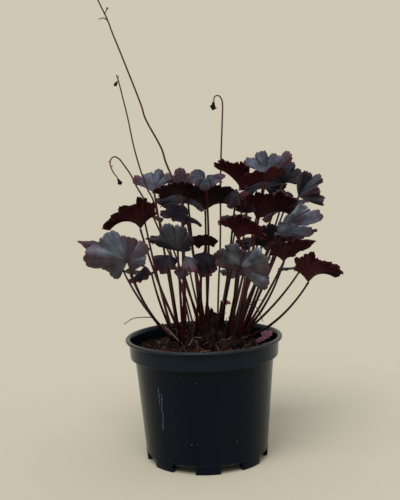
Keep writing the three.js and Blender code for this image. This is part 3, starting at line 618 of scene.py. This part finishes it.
def vein_masks(t, lobe, out):
    """Main veins, side veins, and the share of the way to the gap between two lobes."""
    off = t.times(t.gap(t.math("FRACT", lobe), 0.5), 2.0)
    aside = t.times(off, out)
    main = t.band(aside, 0.085, 0.02)
    wave = t.math("FRACT", t.math("SUBTRACT", t.times(out, 5.5), t.times(off, 1.7)))
    near = t.times(t.gap(wave, 0.5), 2.0)
    side = t.times(t.band(near, 0.82, 1.0), t.band(out, 0.12, 0.3))
    return main, side, off


def blade_height(t, main, side, way):
    """Bump of a blade: veins that stand up or sink in by way, and the quilted skin between them."""
    quilt = t.node(
        "TexVoronoi", {"Vector": t.place(), "Scale": 330.0, "Randomness": 0.9}, feature="SMOOTH_F1"
    ).outputs["Distance"]
    veins = t.plus(main, t.times(side, 0.6))
    height = t.plus(t.times(veins, way), t.times(quilt, -0.45 * abs(way)))
    t.bump(t.plus(height, t.times(t.noise(520, 3), 0.35)), 0.0006, 0.8)


def top_material():
    """Upper side of a blade: near-black under a pale bloom, with a rosy hem and patches, and painted light
    and shade set by which way it faces and by its clefts.

    Shading values: place along the lobes, share of the way out.
    """
    t = Tree("blade_top")
    lobe, out, _ = t.values()
    pale, rosy, _ = t.values("tones")
    main, side, off = vein_masks(t, lobe, out)
    cloud = t.noise(48, 4, 0.6)
    dark = t.mix(t.band(cloud, 0.3, 0.7), colour(13, 9, 11), colour(26, 20, 25))
    bloom = t.mix(t.band(t.noise(90, 4, 0.6, shift=5.0), 0.3, 0.7), colour(72, 80, 91), colour(110, 118, 130))
    # Painted shade: the clefts between lobes and the middle round the petiole are darkened, partly the leaf's
    # own colour and partly shade.
    cleft = t.times(t.band(off, 0.5, 1.0), t.band(out, 0.15, 0.7))
    sunk = t.math("MAXIMUM", cleft, t.band(out, 0.3, 0.05))
    facing = t.node("SeparateXYZ", {0: t.node("NewGeometry").outputs["Normal"]}).outputs["Z"]
    bloom_and_painted_light = t.times(pale, t.band(t.noise(38, 4, 0.6, shift=2.0), 0.36, 0.6, 0.2, 1.15))
    # Painted sheen and shade: parts that face up keep more pale bloom, parts that face down keep less.
    bloom_and_painted_light = t.times(bloom_and_painted_light, t.band(facing, -0.2, 0.7, 0.45, 1.0))
    # Veins keep less bloom. The clefts and the middle darken as painted shade.
    for bare_and_shaded, share in ((sunk, 0.42), (main, 0.24), (side, 0.2)):
        bloom_and_painted_light = t.times(bloom_and_painted_light, t.math("SUBTRACT", 1.0, t.times(bare_and_shaded, share)))
    base = t.mix(bloom_and_painted_light, dark, bloom)
    # Painted sheen: where bloom and painted light run highest, the top turns a whiter blue.
    base = t.mix(t.band(bloom_and_painted_light, 0.85, 2.2), base, colour(158, 171, 188))
    patches = t.noise(42, 3, 0.5, shift=9.0)
    hem = t.band(t.plus(out, t.times(patches, 0.3)), 0.93, 1.15)
    hem = t.times(hem, t.plus(t.times(rosy, 0.6), 0.16))
    # Painted shade: parts that face down turn rosy. The patches and the hem are the leaf's own colour.
    rosy_flush_and_shade = t.plus(t.band(facing, 0.5, -0.1, 0.0, 0.5), t.band(patches, 0.45, 0.7, 0.0, 0.7))
    rosy_flush_and_shade = t.plus(hem, t.times(rosy_flush_and_shade, t.times(rosy, 0.8)))
    base = t.mix(t.math("MINIMUM", rosy_flush_and_shade, 1.0), base, colour(88, 44, 54))
    gloss = t.band(pale, 0.0, 0.6, 0.03, 0.17)
    t.look(base, t.band(cloud, 0.3, 0.7, 0.36, 0.5), gloss)
    blade_height(t, main, side, -0.42)
    return t.owner


def under_material():
    t = Tree("blade_underside")
    lobe, out, _ = t.values()
    _, _, red = t.values("tones")
    main, side, _ = vein_masks(t, lobe, out)
    cloud = t.band(t.noise(60, 4, 0.6), 0.3, 0.7)
    base = t.mix(cloud, colour(20, 8, 10), colour(32, 11, 14))
    base = t.mix(t.times(red, t.band(cloud, -0.4, 1.0)), base, colour(76, 17, 28))
    ribs = t.plus(t.times(main, 0.4), t.times(side, 0.12))
    base = t.mix(ribs, base, colour(58, 22, 22))
    t.look(base, 0.5, 0.15)
    blade_height(t, main, side, 0.6)
    return t.owner


def pink_material(name, dark, light):
    t = Tree(name)
    lobe, out, _ = t.values()
    main, side, _ = vein_masks(t, lobe, out)
    base = t.mix(t.band(t.noise(160, 3), 0.3, 0.7), dark, light)
    base = t.mix(t.times(main, 0.4), base, dark)
    t.look(base, 0.5, 0.5)
    blade_height(t, main, side, -1.0)
    return t.owner


# Shapes


def smooth_path(points, steps):
    """Points of a Catmull-Rom curve through the listed ones, steps to each stretch."""
    points = np.asarray(points, float)
    first, last = 2 * points[0] - points[1], 2 * points[-1] - points[-2]
    padded = np.vstack([first, points, last])
    found = []
    for a, b, c, d in zip(padded, padded[1:], padded[2:], padded[3:]):
        for k in range(steps):
            u = k / steps
            square, cube = 2 * a - 5 * b + 4 * c - d, 3 * b - a - 3 * c + d
            found.append(0.5 * (2 * b + (c - a) * u + square * u**2 + cube * u**3))
    return np.array([*found, points[-1]])


def grid_faces(rows, columns, start=0, closed=True):
    """Faces between rows of points, which close to rings or not."""
    faces = []
    for row_start in range(start, start + (rows - 1) * columns, columns):
        for k in range(columns if closed else columns - 1):
            a, b = row_start + k, row_start + (k + 1) % columns
            faces.append((a, b, b + columns, a + columns))
    return faces


def add_tube(solid, path, radii, sides, own, flat=1.0):
    """Closed tube along a path. The shading values are the share along it and own."""
    path = np.asarray(path, float)
    radii = np.broadcast_to(radii, len(path))
    ways = np.gradient(path, axis=0)
    ways /= np.linalg.norm(ways, axis=1)[:, None]
    across = unit(np.cross(ways[0], (0.31, 0.95, 0.07)))
    turns = np.arange(sides) / sides * CIRCLE
    rings = []
    for place, way, radius in zip(path, ways, radii):
        across = unit(across - way * (across @ way))
        up = np.cross(way, across)
        ring = np.outer(np.cos(turns), across) + np.outer(np.sin(turns), up) * flat
        rings.append(place + radius * ring)
    count = len(path)
    points = np.vstack([*rings, path[:1], path[-1:]])
    faces = grid_faces(count, sides)
    low, high = count * sides, count * sides + 1
    for k in range(sides):
        faces.append((low, (k + 1) % sides, k))
        faces.append((high, (count - 1) * sides + k, (count - 1) * sides + (k + 1) % sides))
    along = np.append(np.repeat(np.linspace(0, 1, count), sides), (0, 1))
    values = np.column_stack([along, np.full(len(along), own), np.zeros(len(along))])
    solid.add(points, faces, values)


def add_ball(solid, centre, radii, way, rough, detail, slot=0):
    """Rounded lump, long along way, with an uneven surface."""
    ball = bpy.data.meshes.new("ball")
    form = bmesh.new()
    bmesh.ops.create_icosphere(form, subdivisions=detail, radius=1)
    form.to_mesh(ball)
    form.free()
    points = np.array([v.co for v in ball.vertices])
    faces = [tuple(p.vertices) for p in ball.polygons]
    bpy.data.meshes.remove(ball)
    shift = np.asarray(centre) * 0.37
    swell = [noise.fractal(Vector(p * 2.2 + shift), 1.0, 2.0, 4) for p in points]
    points = points * (1 + rough * np.array(swell))[:, None]
    turn = Vector((0, 0, 1)).rotation_difference(Vector(way)).to_matrix()
    points = (points * np.asarray(radii)) @ np.array(turn).T + np.asarray(centre)
    solid.add(points, faces, slot=slot)


def add_turned(solid, profile, sides, start=0.0, end=360.0):
    """Closed ring turned from a closed outline of (radius, height) points, or part of one with ends."""
    whole = end - start >= 360
    count = sides if whole else max(2, round(sides * (end - start) / 360)) + 1
    turns = np.radians(np.linspace(start, end, count, endpoint=not whole))
    points = [(r * math.sin(a), -r * math.cos(a), z) for a in turns for r, z in profile]
    size = len(profile)
    faces = []
    for k in range(count if whole else count - 1):
        low, high = k * size, ((k + 1) % count) * size
        for i in range(size):
            j = (i + 1) % size
            faces.append((low + i, high + i, high + j, low + j))
    if not whole:
        faces.append(tuple(range(size)))
        faces.append(tuple(range((count - 1) * size, count * size))[::-1])
    solid.add(points, faces)


def rounded(profile, radius=0.35, steps=3):
    """Outline with its corners rounded, so that edges catch the light."""
    points = np.asarray(profile, float)
    found = []
    for before, here, after in zip(np.roll(points, 1, 0), points, np.roll(points, -1, 0)):
        a, b = before - here, after - here
        cut = min(radius, 0.4 * np.linalg.norm(a), 0.4 * np.linalg.norm(b))
        p, q = here + unit(a) * cut, here + unit(b) * cut
        for k in range(steps + 1):
            u = k / steps
            found.append((1 - u) ** 2 * p + 2 * u * (1 - u) * here + u * u * q)
    return np.array(found)


def make_pot(material):
    pot = Solid()
    add_turned(pot, rounded(POT_OUTLINE)[::-1], POT_SIDES)
    foot = rounded(FOOT_OUTLINE)
    for k in range(FOOT_COUNT):
        middle = k * 360 / FOOT_COUNT
        add_turned(pot, foot[::-1], POT_SIDES, middle - FOOT_HALF_TURN, middle + FOOT_HALF_TURN)
    pot.make("pot_shell", [material], ["pot"])


def soil_height(x, y):
    long_wave = math.sin(x * 0.21 + y * 0.13)
    short_wave = math.sin(y * 0.31 - x * 0.17 + 1)
    swell = SOIL_BUMP * (0.6 * long_wave + 0.4 * short_wave)
    crumbs = noise.fractal(Vector((x * 0.16, y * 0.16, 3.1)), 0.9, 2.1, 6)
    mound = SOIL_MOUND * math.exp(-(x * x + y * y) / MOUND_RADIUS**2)
    return SOIL_TOP + swell + mound + SOIL_CRUMBS * crumbs


def make_soil(material):
    soil = Solid()
    rings, sides = SOIL_RINGS, SOIL_SIDES
    points = [(0, 0, soil_height(0, 0))]
    for i in range(1, rings + 1):
        for k in range(sides):
            r, a = SOIL_RADIUS * i / rings, k / sides * CIRCLE
            x, y = r * math.cos(a), r * math.sin(a)
            points.append((x, y, soil_height(x, y) + (SOIL_EDGE_RISE if i == rings else 0)))
    edge = points[-sides:]
    points.extend((x * SOIL_SKIRT_SHARE, y * SOIL_SKIRT_SHARE, SOIL_SKIRT_FOOT) for x, y, _ in edge)
    points.append((0, 0, SOIL_SKIRT_FOOT))
    faces = [(0, 1 + k, 1 + (k + 1) % sides) for k in range(sides)]
    faces.extend((a, d, c, b) for a, b, c, d in grid_faces(rings + 1, sides, 1))
    bottom = len(points) - 1
    faces.extend((bottom, bottom - sides + (k + 1) % sides, bottom - sides + k) for k in range(sides))
    soil.add(points, faces)
    soil.make("soil_surface", [material], ["soil"])


def make_debris(material):
    """Bark chips and fibres that lie on the soil, placed by seeded draws."""
    random = np.random.default_rng(LITTER_SEED)
    litter = Solid()
    box = np.array([(x, y, z) for x in (-1, 1) for y in (-1, 1) for z in (-1, 1)], float)
    sides = [(0, 1, 3, 2), (4, 6, 7, 5), (0, 4, 5, 1), (2, 3, 7, 6), (0, 2, 6, 4), (1, 5, 7, 3)]
    for _ in range(CHIP_COUNT):
        x, y = disc_point(random, CHIP_REACH)
        size = np.array([random.uniform(*side) for side in CHIP_SIZES])
        turn = Matrix.Rotation(random.uniform(0, 6.28), 3, "Z")
        turn @= Matrix.Rotation(random.uniform(-0.6, 0.6), 3, "X")
        points = (box * size * random.uniform(0.7, 1.1, (8, 3))) @ np.array(turn).T
        litter.add(points + (x, y, soil_height(x, y) + 0.3), sides, (random.random() ** 1.6, 0, 0))
    for _ in range(FIBRE_COUNT):
        x, y = disc_point(random, FIBRE_REACH)
        way, length = random.random() * CIRCLE, random.uniform(*FIBRE_LENGTH)
        step = np.array([math.cos(way), math.sin(way), 0]) * length / 2
        lift = random.uniform(*FIBRE_LIFT)
        bend = np.array([-step[1], step[0], 0]) * random.uniform(-0.5, 0.5)
        start = np.array([x, y, 0]) - step
        end = np.array([x, y, 0]) + step
        for point in (start, end):
            reach = math.hypot(point[0], point[1]) / FIBRE_END_REACH
            point[:2] /= max(reach, 1)
            point[2] = soil_height(point[0], point[1]) + 0.1
        middle = (start + end) / 2 + bend * 0.5 + (0, 0, lift)
        path = smooth_path([start, middle, end], 5)
        thick = random.uniform(*FIBRE_RADIUS)
        shade = random.uniform(0.35, 1.0) if x > -18 else random.uniform(0.55, 0.8)
        piece = Solid()
        add_tube(piece, path, thick, 5, 0)
        litter.add(piece.points[0], piece.faces, (shade, 0, 0))
    litter.make("soil_litter", [material])


def along_lobes(values, lobe):
    """Value at a place along the lobes, eased from the middle of one to the middle of the next."""
    values = np.asarray(values, float)
    place = np.clip(lobe - 0.5, 0, len(values) - 1)
    low = np.minimum(np.floor(place).astype(int), len(values) - 2)
    return values[low] + (values[low + 1] - values[low]) * eased(place - low)


class Leaf:
    """One leaf of the list: its frame, its blade's form and its petiole's line."""

    def __init__(
        self, number, at, tip, face, cup, reach=None, lift=None, ruffle=RUFFLE, span=BLADE_SPAN, flare=FLARE,
        fold=0, bow=0, side=0, root=None, pink=False,
    ):
        self.number = number
        self.at, tip = np.array(at, float), np.array(tip, float)
        self.cup, self.span, self.flare, self.fold, self.ruffle = cup, span, flare, fold, ruffle
        self.bow, self.side, self.pink, self.root = bow, side, pink, root
        self.lobes = len(reach) if reach else 7
        shares = (2 * np.arange(self.lobes) + 1) / self.lobes - 1
        spread = [swing(number, 40 + k) * LOBE_LENGTH_SPREAD if s else 0 for k, s in enumerate(shares)]
        self.reach = np.array(reach) if reach else 1 - (1 - BASE_LOBE_SHARE) * shares**2 + spread
        self.lift = lift or [swing(number, k) * LOBE_TILT for k in range(self.lobes)]
        self.creases = [CREASE_LEAST + CREASE_SPREAD * draw(number, 80 + k) for k in range(self.lobes + 1)]
        self.length = np.linalg.norm(tip - self.at) / float(self.rib(np.array([0.0]))[0])
        rib = unit(tip - self.at)
        across = unit(np.cross(rib, face))
        over = np.cross(across, rib)
        rise = float(self.rise(np.array([0.0]), 1.0)[0]) * DEGREE
        self.axes = np.array([
            across,
            rib * math.cos(rise) - over * math.sin(rise),
            rib * math.sin(rise) + over * math.cos(rise),
        ])

    def lobe_at(self, share):
        """Place along the lobes at an angle share, which runs from -1 to 1."""
        return (share + 1) / 2 * self.lobes

    def rise(self, share, out):
        """Degrees by which the blade rises out of its own plane."""
        lobe = self.lobe_at(share)
        crease = np.interp(lobe, np.arange(self.lobes + 1), self.creases)
        rim = self.ruffle * crease * np.cos(CIRCLE * lobe) - self.flare
        return self.cup + self.fold * np.abs(share) + along_lobes(self.lift, lobe) * out + rim * out * out

    def rib(self, share):
        """Length of the rib at an angle share, with rounded teeth, as a share of the leaf's length."""
        lobe = self.lobe_at(share)
        off = np.abs(2 * (lobe - np.floor(lobe)) - 1)
        tooth = TOOTH_DEPTH * (1 - np.abs(np.sin(TEETH_PER_LOBE * math.pi * lobe)) ** 0.7)
        return along_lobes(self.reach, lobe) * (1 - LOBE_ROUNDING * off**2 - SINUS_DEPTH * off**5 - tooth)

    def angle(self, share):
        """Angle from the middle rib: lobes widen, and the gaps between them narrow."""
        lobe = self.lobe_at(share)
        widened = lobe - LOBE_WIDENING / CIRCLE * np.sin(CIRCLE * lobe)
        return (widened / self.lobes * 2 - 1) * self.span * DEGREE

    def frill(self, share, out):
        """Fine waves of the rim, in degrees."""
        lobe = self.lobe_at(share)
        first = np.sin(CIRCLE * (1.5 * lobe + draw(self.number, 21)))
        second = np.sin(CIRCLE * (2.7 * lobe + draw(self.number, 22)))
        return (FRILL * first + FINE_FRILL * second) * out**FRILL_ONSET

    def sheet(self):
        """Points of the blade's middle surface by ring, their angle shares, and how far out each ring is."""
        shares = np.linspace(-1, 1, self.lobes * STEPS_PER_LOBE + 1)
        outs = (np.arange(1, RINGS + 1) / RINGS) ** RING_CROWDING
        rows = []
        for out in outs:
            rise = (self.rise(shares, out) + self.frill(shares, out)) * DEGREE
            angle = self.angle(shares)
            radius = self.length * self.rib(shares) * out
            flat = radius * np.cos(rise)
            rows.append(np.column_stack([flat * np.sin(angle), flat * np.cos(angle), radius * np.sin(rise)]))
        return np.array(rows) @ self.axes + self.at, shares, outs

    def petiole(self):
        """Line of the petiole from its root in the crown to the blade."""
        sought = self.at[0] * CLUMP_SHARE + swing(self.number, 72) * CLUMP_DRIFT
        clump = min(CLUMPS, key=lambda place: abs(place[0] - sought))
        x = clump[0] + self.at[0] * ROOT_SHARE + swing(self.number, 70) * ROOT_JITTER
        y = clump[1] + self.at[1] * ROOT_SHARE + swing(self.number, 71) * ROOT_JITTER
        x, y = self.root or (x, y)
        far = max(math.hypot(x / CROWN_X, y / CROWN_Y) / ROOT_REACH, 1)
        root = np.array([x / far, y / far, SOIL_TOP + 1])
        flat = (self.at - root) * (1, 1, 0)
        outward = unit(flat)
        climb = math.atan2(self.at[2] - root[2], np.linalg.norm(flat))
        middle = (root + self.at) / 2 + outward * self.bow * math.sin(climb)
        middle[2] -= self.bow * math.cos(climb)
        middle += np.array([-outward[1], outward[0], 0]) * self.side
        u = np.linspace(0, 1, PETIOLE_POINTS)[:, None]
        end = self.at - self.axes[2] * 0.25
        return (1 - u) ** 2 * root + 2 * u * (1 - u) * middle + u * u * end


def make_blade(leaf, materials):
    """Closed blade: the sheet's upper side in the first material, underside and rim in the second."""
    rows, shares, outs = leaf.sheet()
    rings, count, _ = rows.shape
    middle = np.vstack([leaf.at, rows.reshape(-1, 3)])
    top_faces = [(0, 2 + k, 1 + k) for k in range(count - 1)]
    top_faces += grid_faces(rings, count, 1, closed=False)
    quads = np.array([face if len(face) == 4 else (*face, face[-1]) for face in top_faces])
    one, two = middle[quads[:, 2]] - middle[quads[:, 0]], middle[quads[:, 3]] - middle[quads[:, 1]]
    face_normals = np.cross(one, two)
    normals = np.zeros_like(middle)
    for column in range(4):
        np.add.at(normals, quads[:, column], face_normals)
    normals /= np.linalg.norm(normals, axis=1)[:, None]
    if normals[0] @ leaf.axes[2] < 0:
        normals = -normals
        top_faces = [face[::-1] for face in top_faces]
    thick = np.append(1.0, np.repeat(1 - RIM_THINNING * outs**2, count)) * BLADE_THICKNESS / 2
    size = len(middle)
    points = np.vstack([middle + normals * thick[:, None], middle - normals * thick[:, None]])
    under_faces = [tuple(i + size for i in face[::-1]) for face in top_faces]
    border = [0, *[1 + i * count for i in range(rings)]]
    border += [1 + (rings - 1) * count + k for k in range(1, count)]
    border += [1 + i * count + count - 1 for i in range(rings - 2, -1, -1)]
    walls = []
    for a, b in zip(border, border[1:] + border[:1]):
        walls.append((a, b, b + size, a + size))
    lobes = np.append(leaf.lobes / 2, np.tile(leaf.lobe_at(shares), rings))
    out = np.append(0, np.repeat(outs, count))
    values = np.tile(np.column_stack([lobes, out, np.zeros(size)]), (2, 1))
    blade = Solid()
    blade.add(points, top_faces, values)
    blade.faces.extend(under_faces + walls)
    blade.slots.extend([1] * len(under_faces + walls))
    name = f"leaf_{leaf.number:02d}"
    nodes = [name] if leaf.number <= len(LEAVES) else []
    piece = blade.make(f"blade_{leaf.number:02d}", materials, nodes)
    pale, rosy, red = (draw(leaf.number, at) for at in (31, 32, 33))
    # Blades not listed, mostly deep in the foliage, get little bloom: partly their own colour and partly
    # painted shade.
    pale, rosy, red = TONES.get(leaf.number, (0.02 + 0.25 * pale, 0.1 + 0.5 * rosy, 0.5 * red))
    even = [[0.4 + 0.7 * draw(leaf.number, at + k) for k in range(leaf.lobes)] for at in (50, 60)]
    paler, rosier = LOBE_TONES.get(leaf.number, even)
    tints = [pale * along_lobes(paler, lobes), rosy * along_lobes(rosier, lobes), np.full(size, red)]
    add_values(piece.data, "tones", np.tile(np.column_stack(tints), (2, 1)))


def make_petioles(leaves, material):
    stems = Solid()
    for leaf in leaves:
        path = leaf.petiole()
        share = np.linspace(0, 1, len(path))
        radii = PETIOLE_RADII[0] + (PETIOLE_RADII[1] - PETIOLE_RADII[0]) * share
        for (height, fade), away in ((ROOT_SWELLING, share), (TIP_SWELLING, 1 - share)):
            radii = radii + height * np.exp(-away / fade)
        if leaf.pink:
            radii = radii * PINK_PETIOLE_SHARE
        add_tube(stems, path, radii, PETIOLE_SIDES, draw(leaf.number, 80))
    stems.make("petioles", [material], ["crown_and_petioles"])


def make_crown(bark, dry):
    wood = Solid()
    for x, y, across, high in CROWN_LUMPS:
        add_ball(wood, (x, y, SOIL_TOP), (across, across * 0.85, high), (0, 0, 1), 0.35, 5)
    wood.make("crown_wood", [bark])
    dead = Solid()
    for i in range(STUB_COUNT):
        turn = i / STUB_COUNT * CIRCLE + draw(i, 90)
        x, y = math.cos(turn) * CROWN_X * STUB_RING, math.sin(turn) * CROWN_Y * STUB_RING
        high = STUB_LEAST + STUB_SPREAD * draw(i, 91)
        top = (x * 1.25, y * 1.25, SOIL_TOP + high)
        bend = ((x + top[0]) / 2 + 1.2, (y + top[1]) / 2, SOIL_TOP + high * 0.45)
        path = smooth_path([(x, y, SOIL_TOP), bend, top], 6)
        add_tube(dead, path, np.linspace(*STUB_RADII, len(path)), 9, 0.6 * draw(i, 92), 0.7)
    for k, path in enumerate(THREADS):
        line = smooth_path(path, 8)
        swell, pale = (1.5, 1.0) if k < THICK_THREADS else (1, 0.0)
        add_tube(dead, line, np.linspace(0.6, 0.3, len(line)) * swell, 7, pale)
    random = np.random.default_rng(CURL_SEED)
    for _ in range(CURL_COUNT):
        turn, far = random.random() * CIRCLE, math.sqrt(random.random())
        x = CURL_SPREAD[0] * far * math.cos(turn) + CURL_MIDDLE[0]
        y = CURL_SPREAD[1] * far * math.sin(turn) + CURL_MIDDLE[1]
        way = np.array([x * 0.02 + random.normal() * 0.35, random.normal() * 0.35, 1])
        path = [np.array([x, y, CURL_FOOT])]
        for _ in range(random.integers(*CURL_STEPS)):
            way = unit(way + random.normal(size=3) * (0.6, 0.6, 0.45))
            path.append(path[-1] + way * random.uniform(*CURL_STEP))
        path = np.array(path)
        path[:, 2] = np.maximum(path[:, 2], CURL_FOOT)
        path = smooth_path(path, 5)
        thick = random.uniform(*CURL_RADIUS)
        add_tube(dead, path, np.linspace(thick, thick * 0.5, len(path)), 5, random.random() ** 1.5)
    dead.make("dry_stems", [dry])


def add_bud(stem, place, way, size):
    """Dried flower: a lump that narrows towards its twig, with withered sepals standing off around it."""
    across = unit(np.cross(way, (0.2, 0.95, 0.3)))
    over = np.cross(way, across)
    add_ball(stem, place + way * size * 0.3, (size * 0.5, size * 0.5, size * 0.9), way, 0.3, 3, 1)
    add_ball(stem, place + way * size * 1.1, (size * 0.75, size * 0.75, size), way, 0.5, 3, 1)
    for k in range(BUD_SEPALS):
        turn = (k + draw(k, place[0])) * CIRCLE / BUD_SEPALS
        aside = across * math.cos(turn) + over * math.sin(turn)
        lean = unit(aside + way * (0.2 + 0.9 * draw(k, place[2])))
        middle = place + way * size * (0.7 + 0.8 * draw(k, place[1])) + aside * size * 0.65
        add_ball(stem, middle, (size * 0.28, size * 0.28, size * 0.55), lean, 0.4, 2, 1)


def make_stalk(name, stalk, skin, bud):
    stem = Solid()
    root, tip = stalk["radii"]
    line = smooth_path(stalk["path"], 8)
    add_tube(stem, line, np.linspace(root, tip, len(line)), 12, draw(len(name), 4))
    for twig, size in stalk["twigs"]:
        path = smooth_path(twig, 6)
        add_tube(stem, path, np.linspace(tip, tip * 0.75, len(path)), 8, 0.5)
        if size:
            way = unit(path[-1] - path[-2])
            add_bud(stem, path[-1], way, size)
    stem.make(name + "_stem", [skin, bud], [name])


def make_floor():
    t = Tree("pale_floor")
    t.look((*FLOOR, 1), 1.0, 0.0)
    mesh = bpy.data.meshes.new("floor")
    turns = np.linspace(0, CIRCLE, FLOOR_SIDES, False)
    points = [(FLOOR_RADIUS * math.cos(a), FLOOR_RADIUS * math.sin(a), 0) for a in turns]
    mesh.from_pydata(points, [], [tuple(range(FLOOR_SIDES))])
    mesh.materials.append(t.owner)
    floor = add_object("floor", mesh)


def make_studio():
    """Sky of one pale tone low down, as the far floor, and cooler overhead, with two wide soft lights."""
    t = Tree("studio", "worlds", "Background")
    way = t.node("SeparateXYZ", {0: t.node("TexCoord").outputs["Generated"]}).outputs
    t.set(Color=t.mix(t.band(way["Z"], *SKY_FADE), (*BACKDROP, 1), (*OVERHEAD, 1)))
    bpy.context.scene.world = t.owner
    bpy.context.scene.view_settings.view_transform = "Standard"
    for name, place, power, width, tint in SUNS:
        light = bpy.data.lights.new(name, "SUN")
        light.energy = power
        light.angle = width * DEGREE
        light.color = tint
        lamp = add_object(name, light)
        lamp.rotation_euler = Vector(place).to_track_quat("Z", "Y").to_euler()


def make_camera():
    data = bpy.data.cameras.new("camera")
    data.lens = CAMERA_LENS
    data.sensor_width = SENSOR_WIDTH
    data.clip_start, data.clip_end = 0.01, 100
    camera = add_object("camera", data)
    pitch = Matrix.Rotation((90 + CAMERA_PITCH) * DEGREE, 4, "X")
    roll = Matrix.Rotation(-CAMERA_ROLL * DEGREE, 4, "Z")
    camera.matrix_world = Matrix.Translation(CAMERA_PLACE) @ (pitch @ roll)
    bpy.context.scene.camera = camera


make_camera()
make_studio()
make_floor()

petiole_skin = stem_material("petiole_skin", colour(26, 9, 11), colour(66, 22, 24), colour(36, 13, 14), 0.42)
stalk_skin = stem_material("stalk_skin", colour(54, 26, 21), colour(84, 45, 35), colour(44, 20, 18), 0.5)
blade_sides = [top_material(), under_material()]

make_pot(pot_material())
make_soil(soil_material())
make_debris(debris_material())
make_crown(crown_material(), dry_material())
leaves = [Leaf(i + 1, **entry) for i, entry in enumerate(LEAVES + SMALL_LEAVES)]
make_petioles(leaves, petiole_skin)
pink_sides = [pink_material("blade_pink", colour(94, 38, 62), colour(124, 62, 90)), blade_sides[1]]
young_sides = [pink_material("blade_crimson", colour(92, 16, 32), colour(120, 28, 44)), blade_sides[1]]
for leaf in leaves:
    own_sides = young_sides if leaf.number == YOUNG_LEAF else blade_sides
    make_blade(leaf, pink_sides if leaf.pink else own_sides)
bud_skin = bud_material()
for name, stalk in STALKS.items():
    make_stalk(name, stalk, stalk_skin, bud_skin)
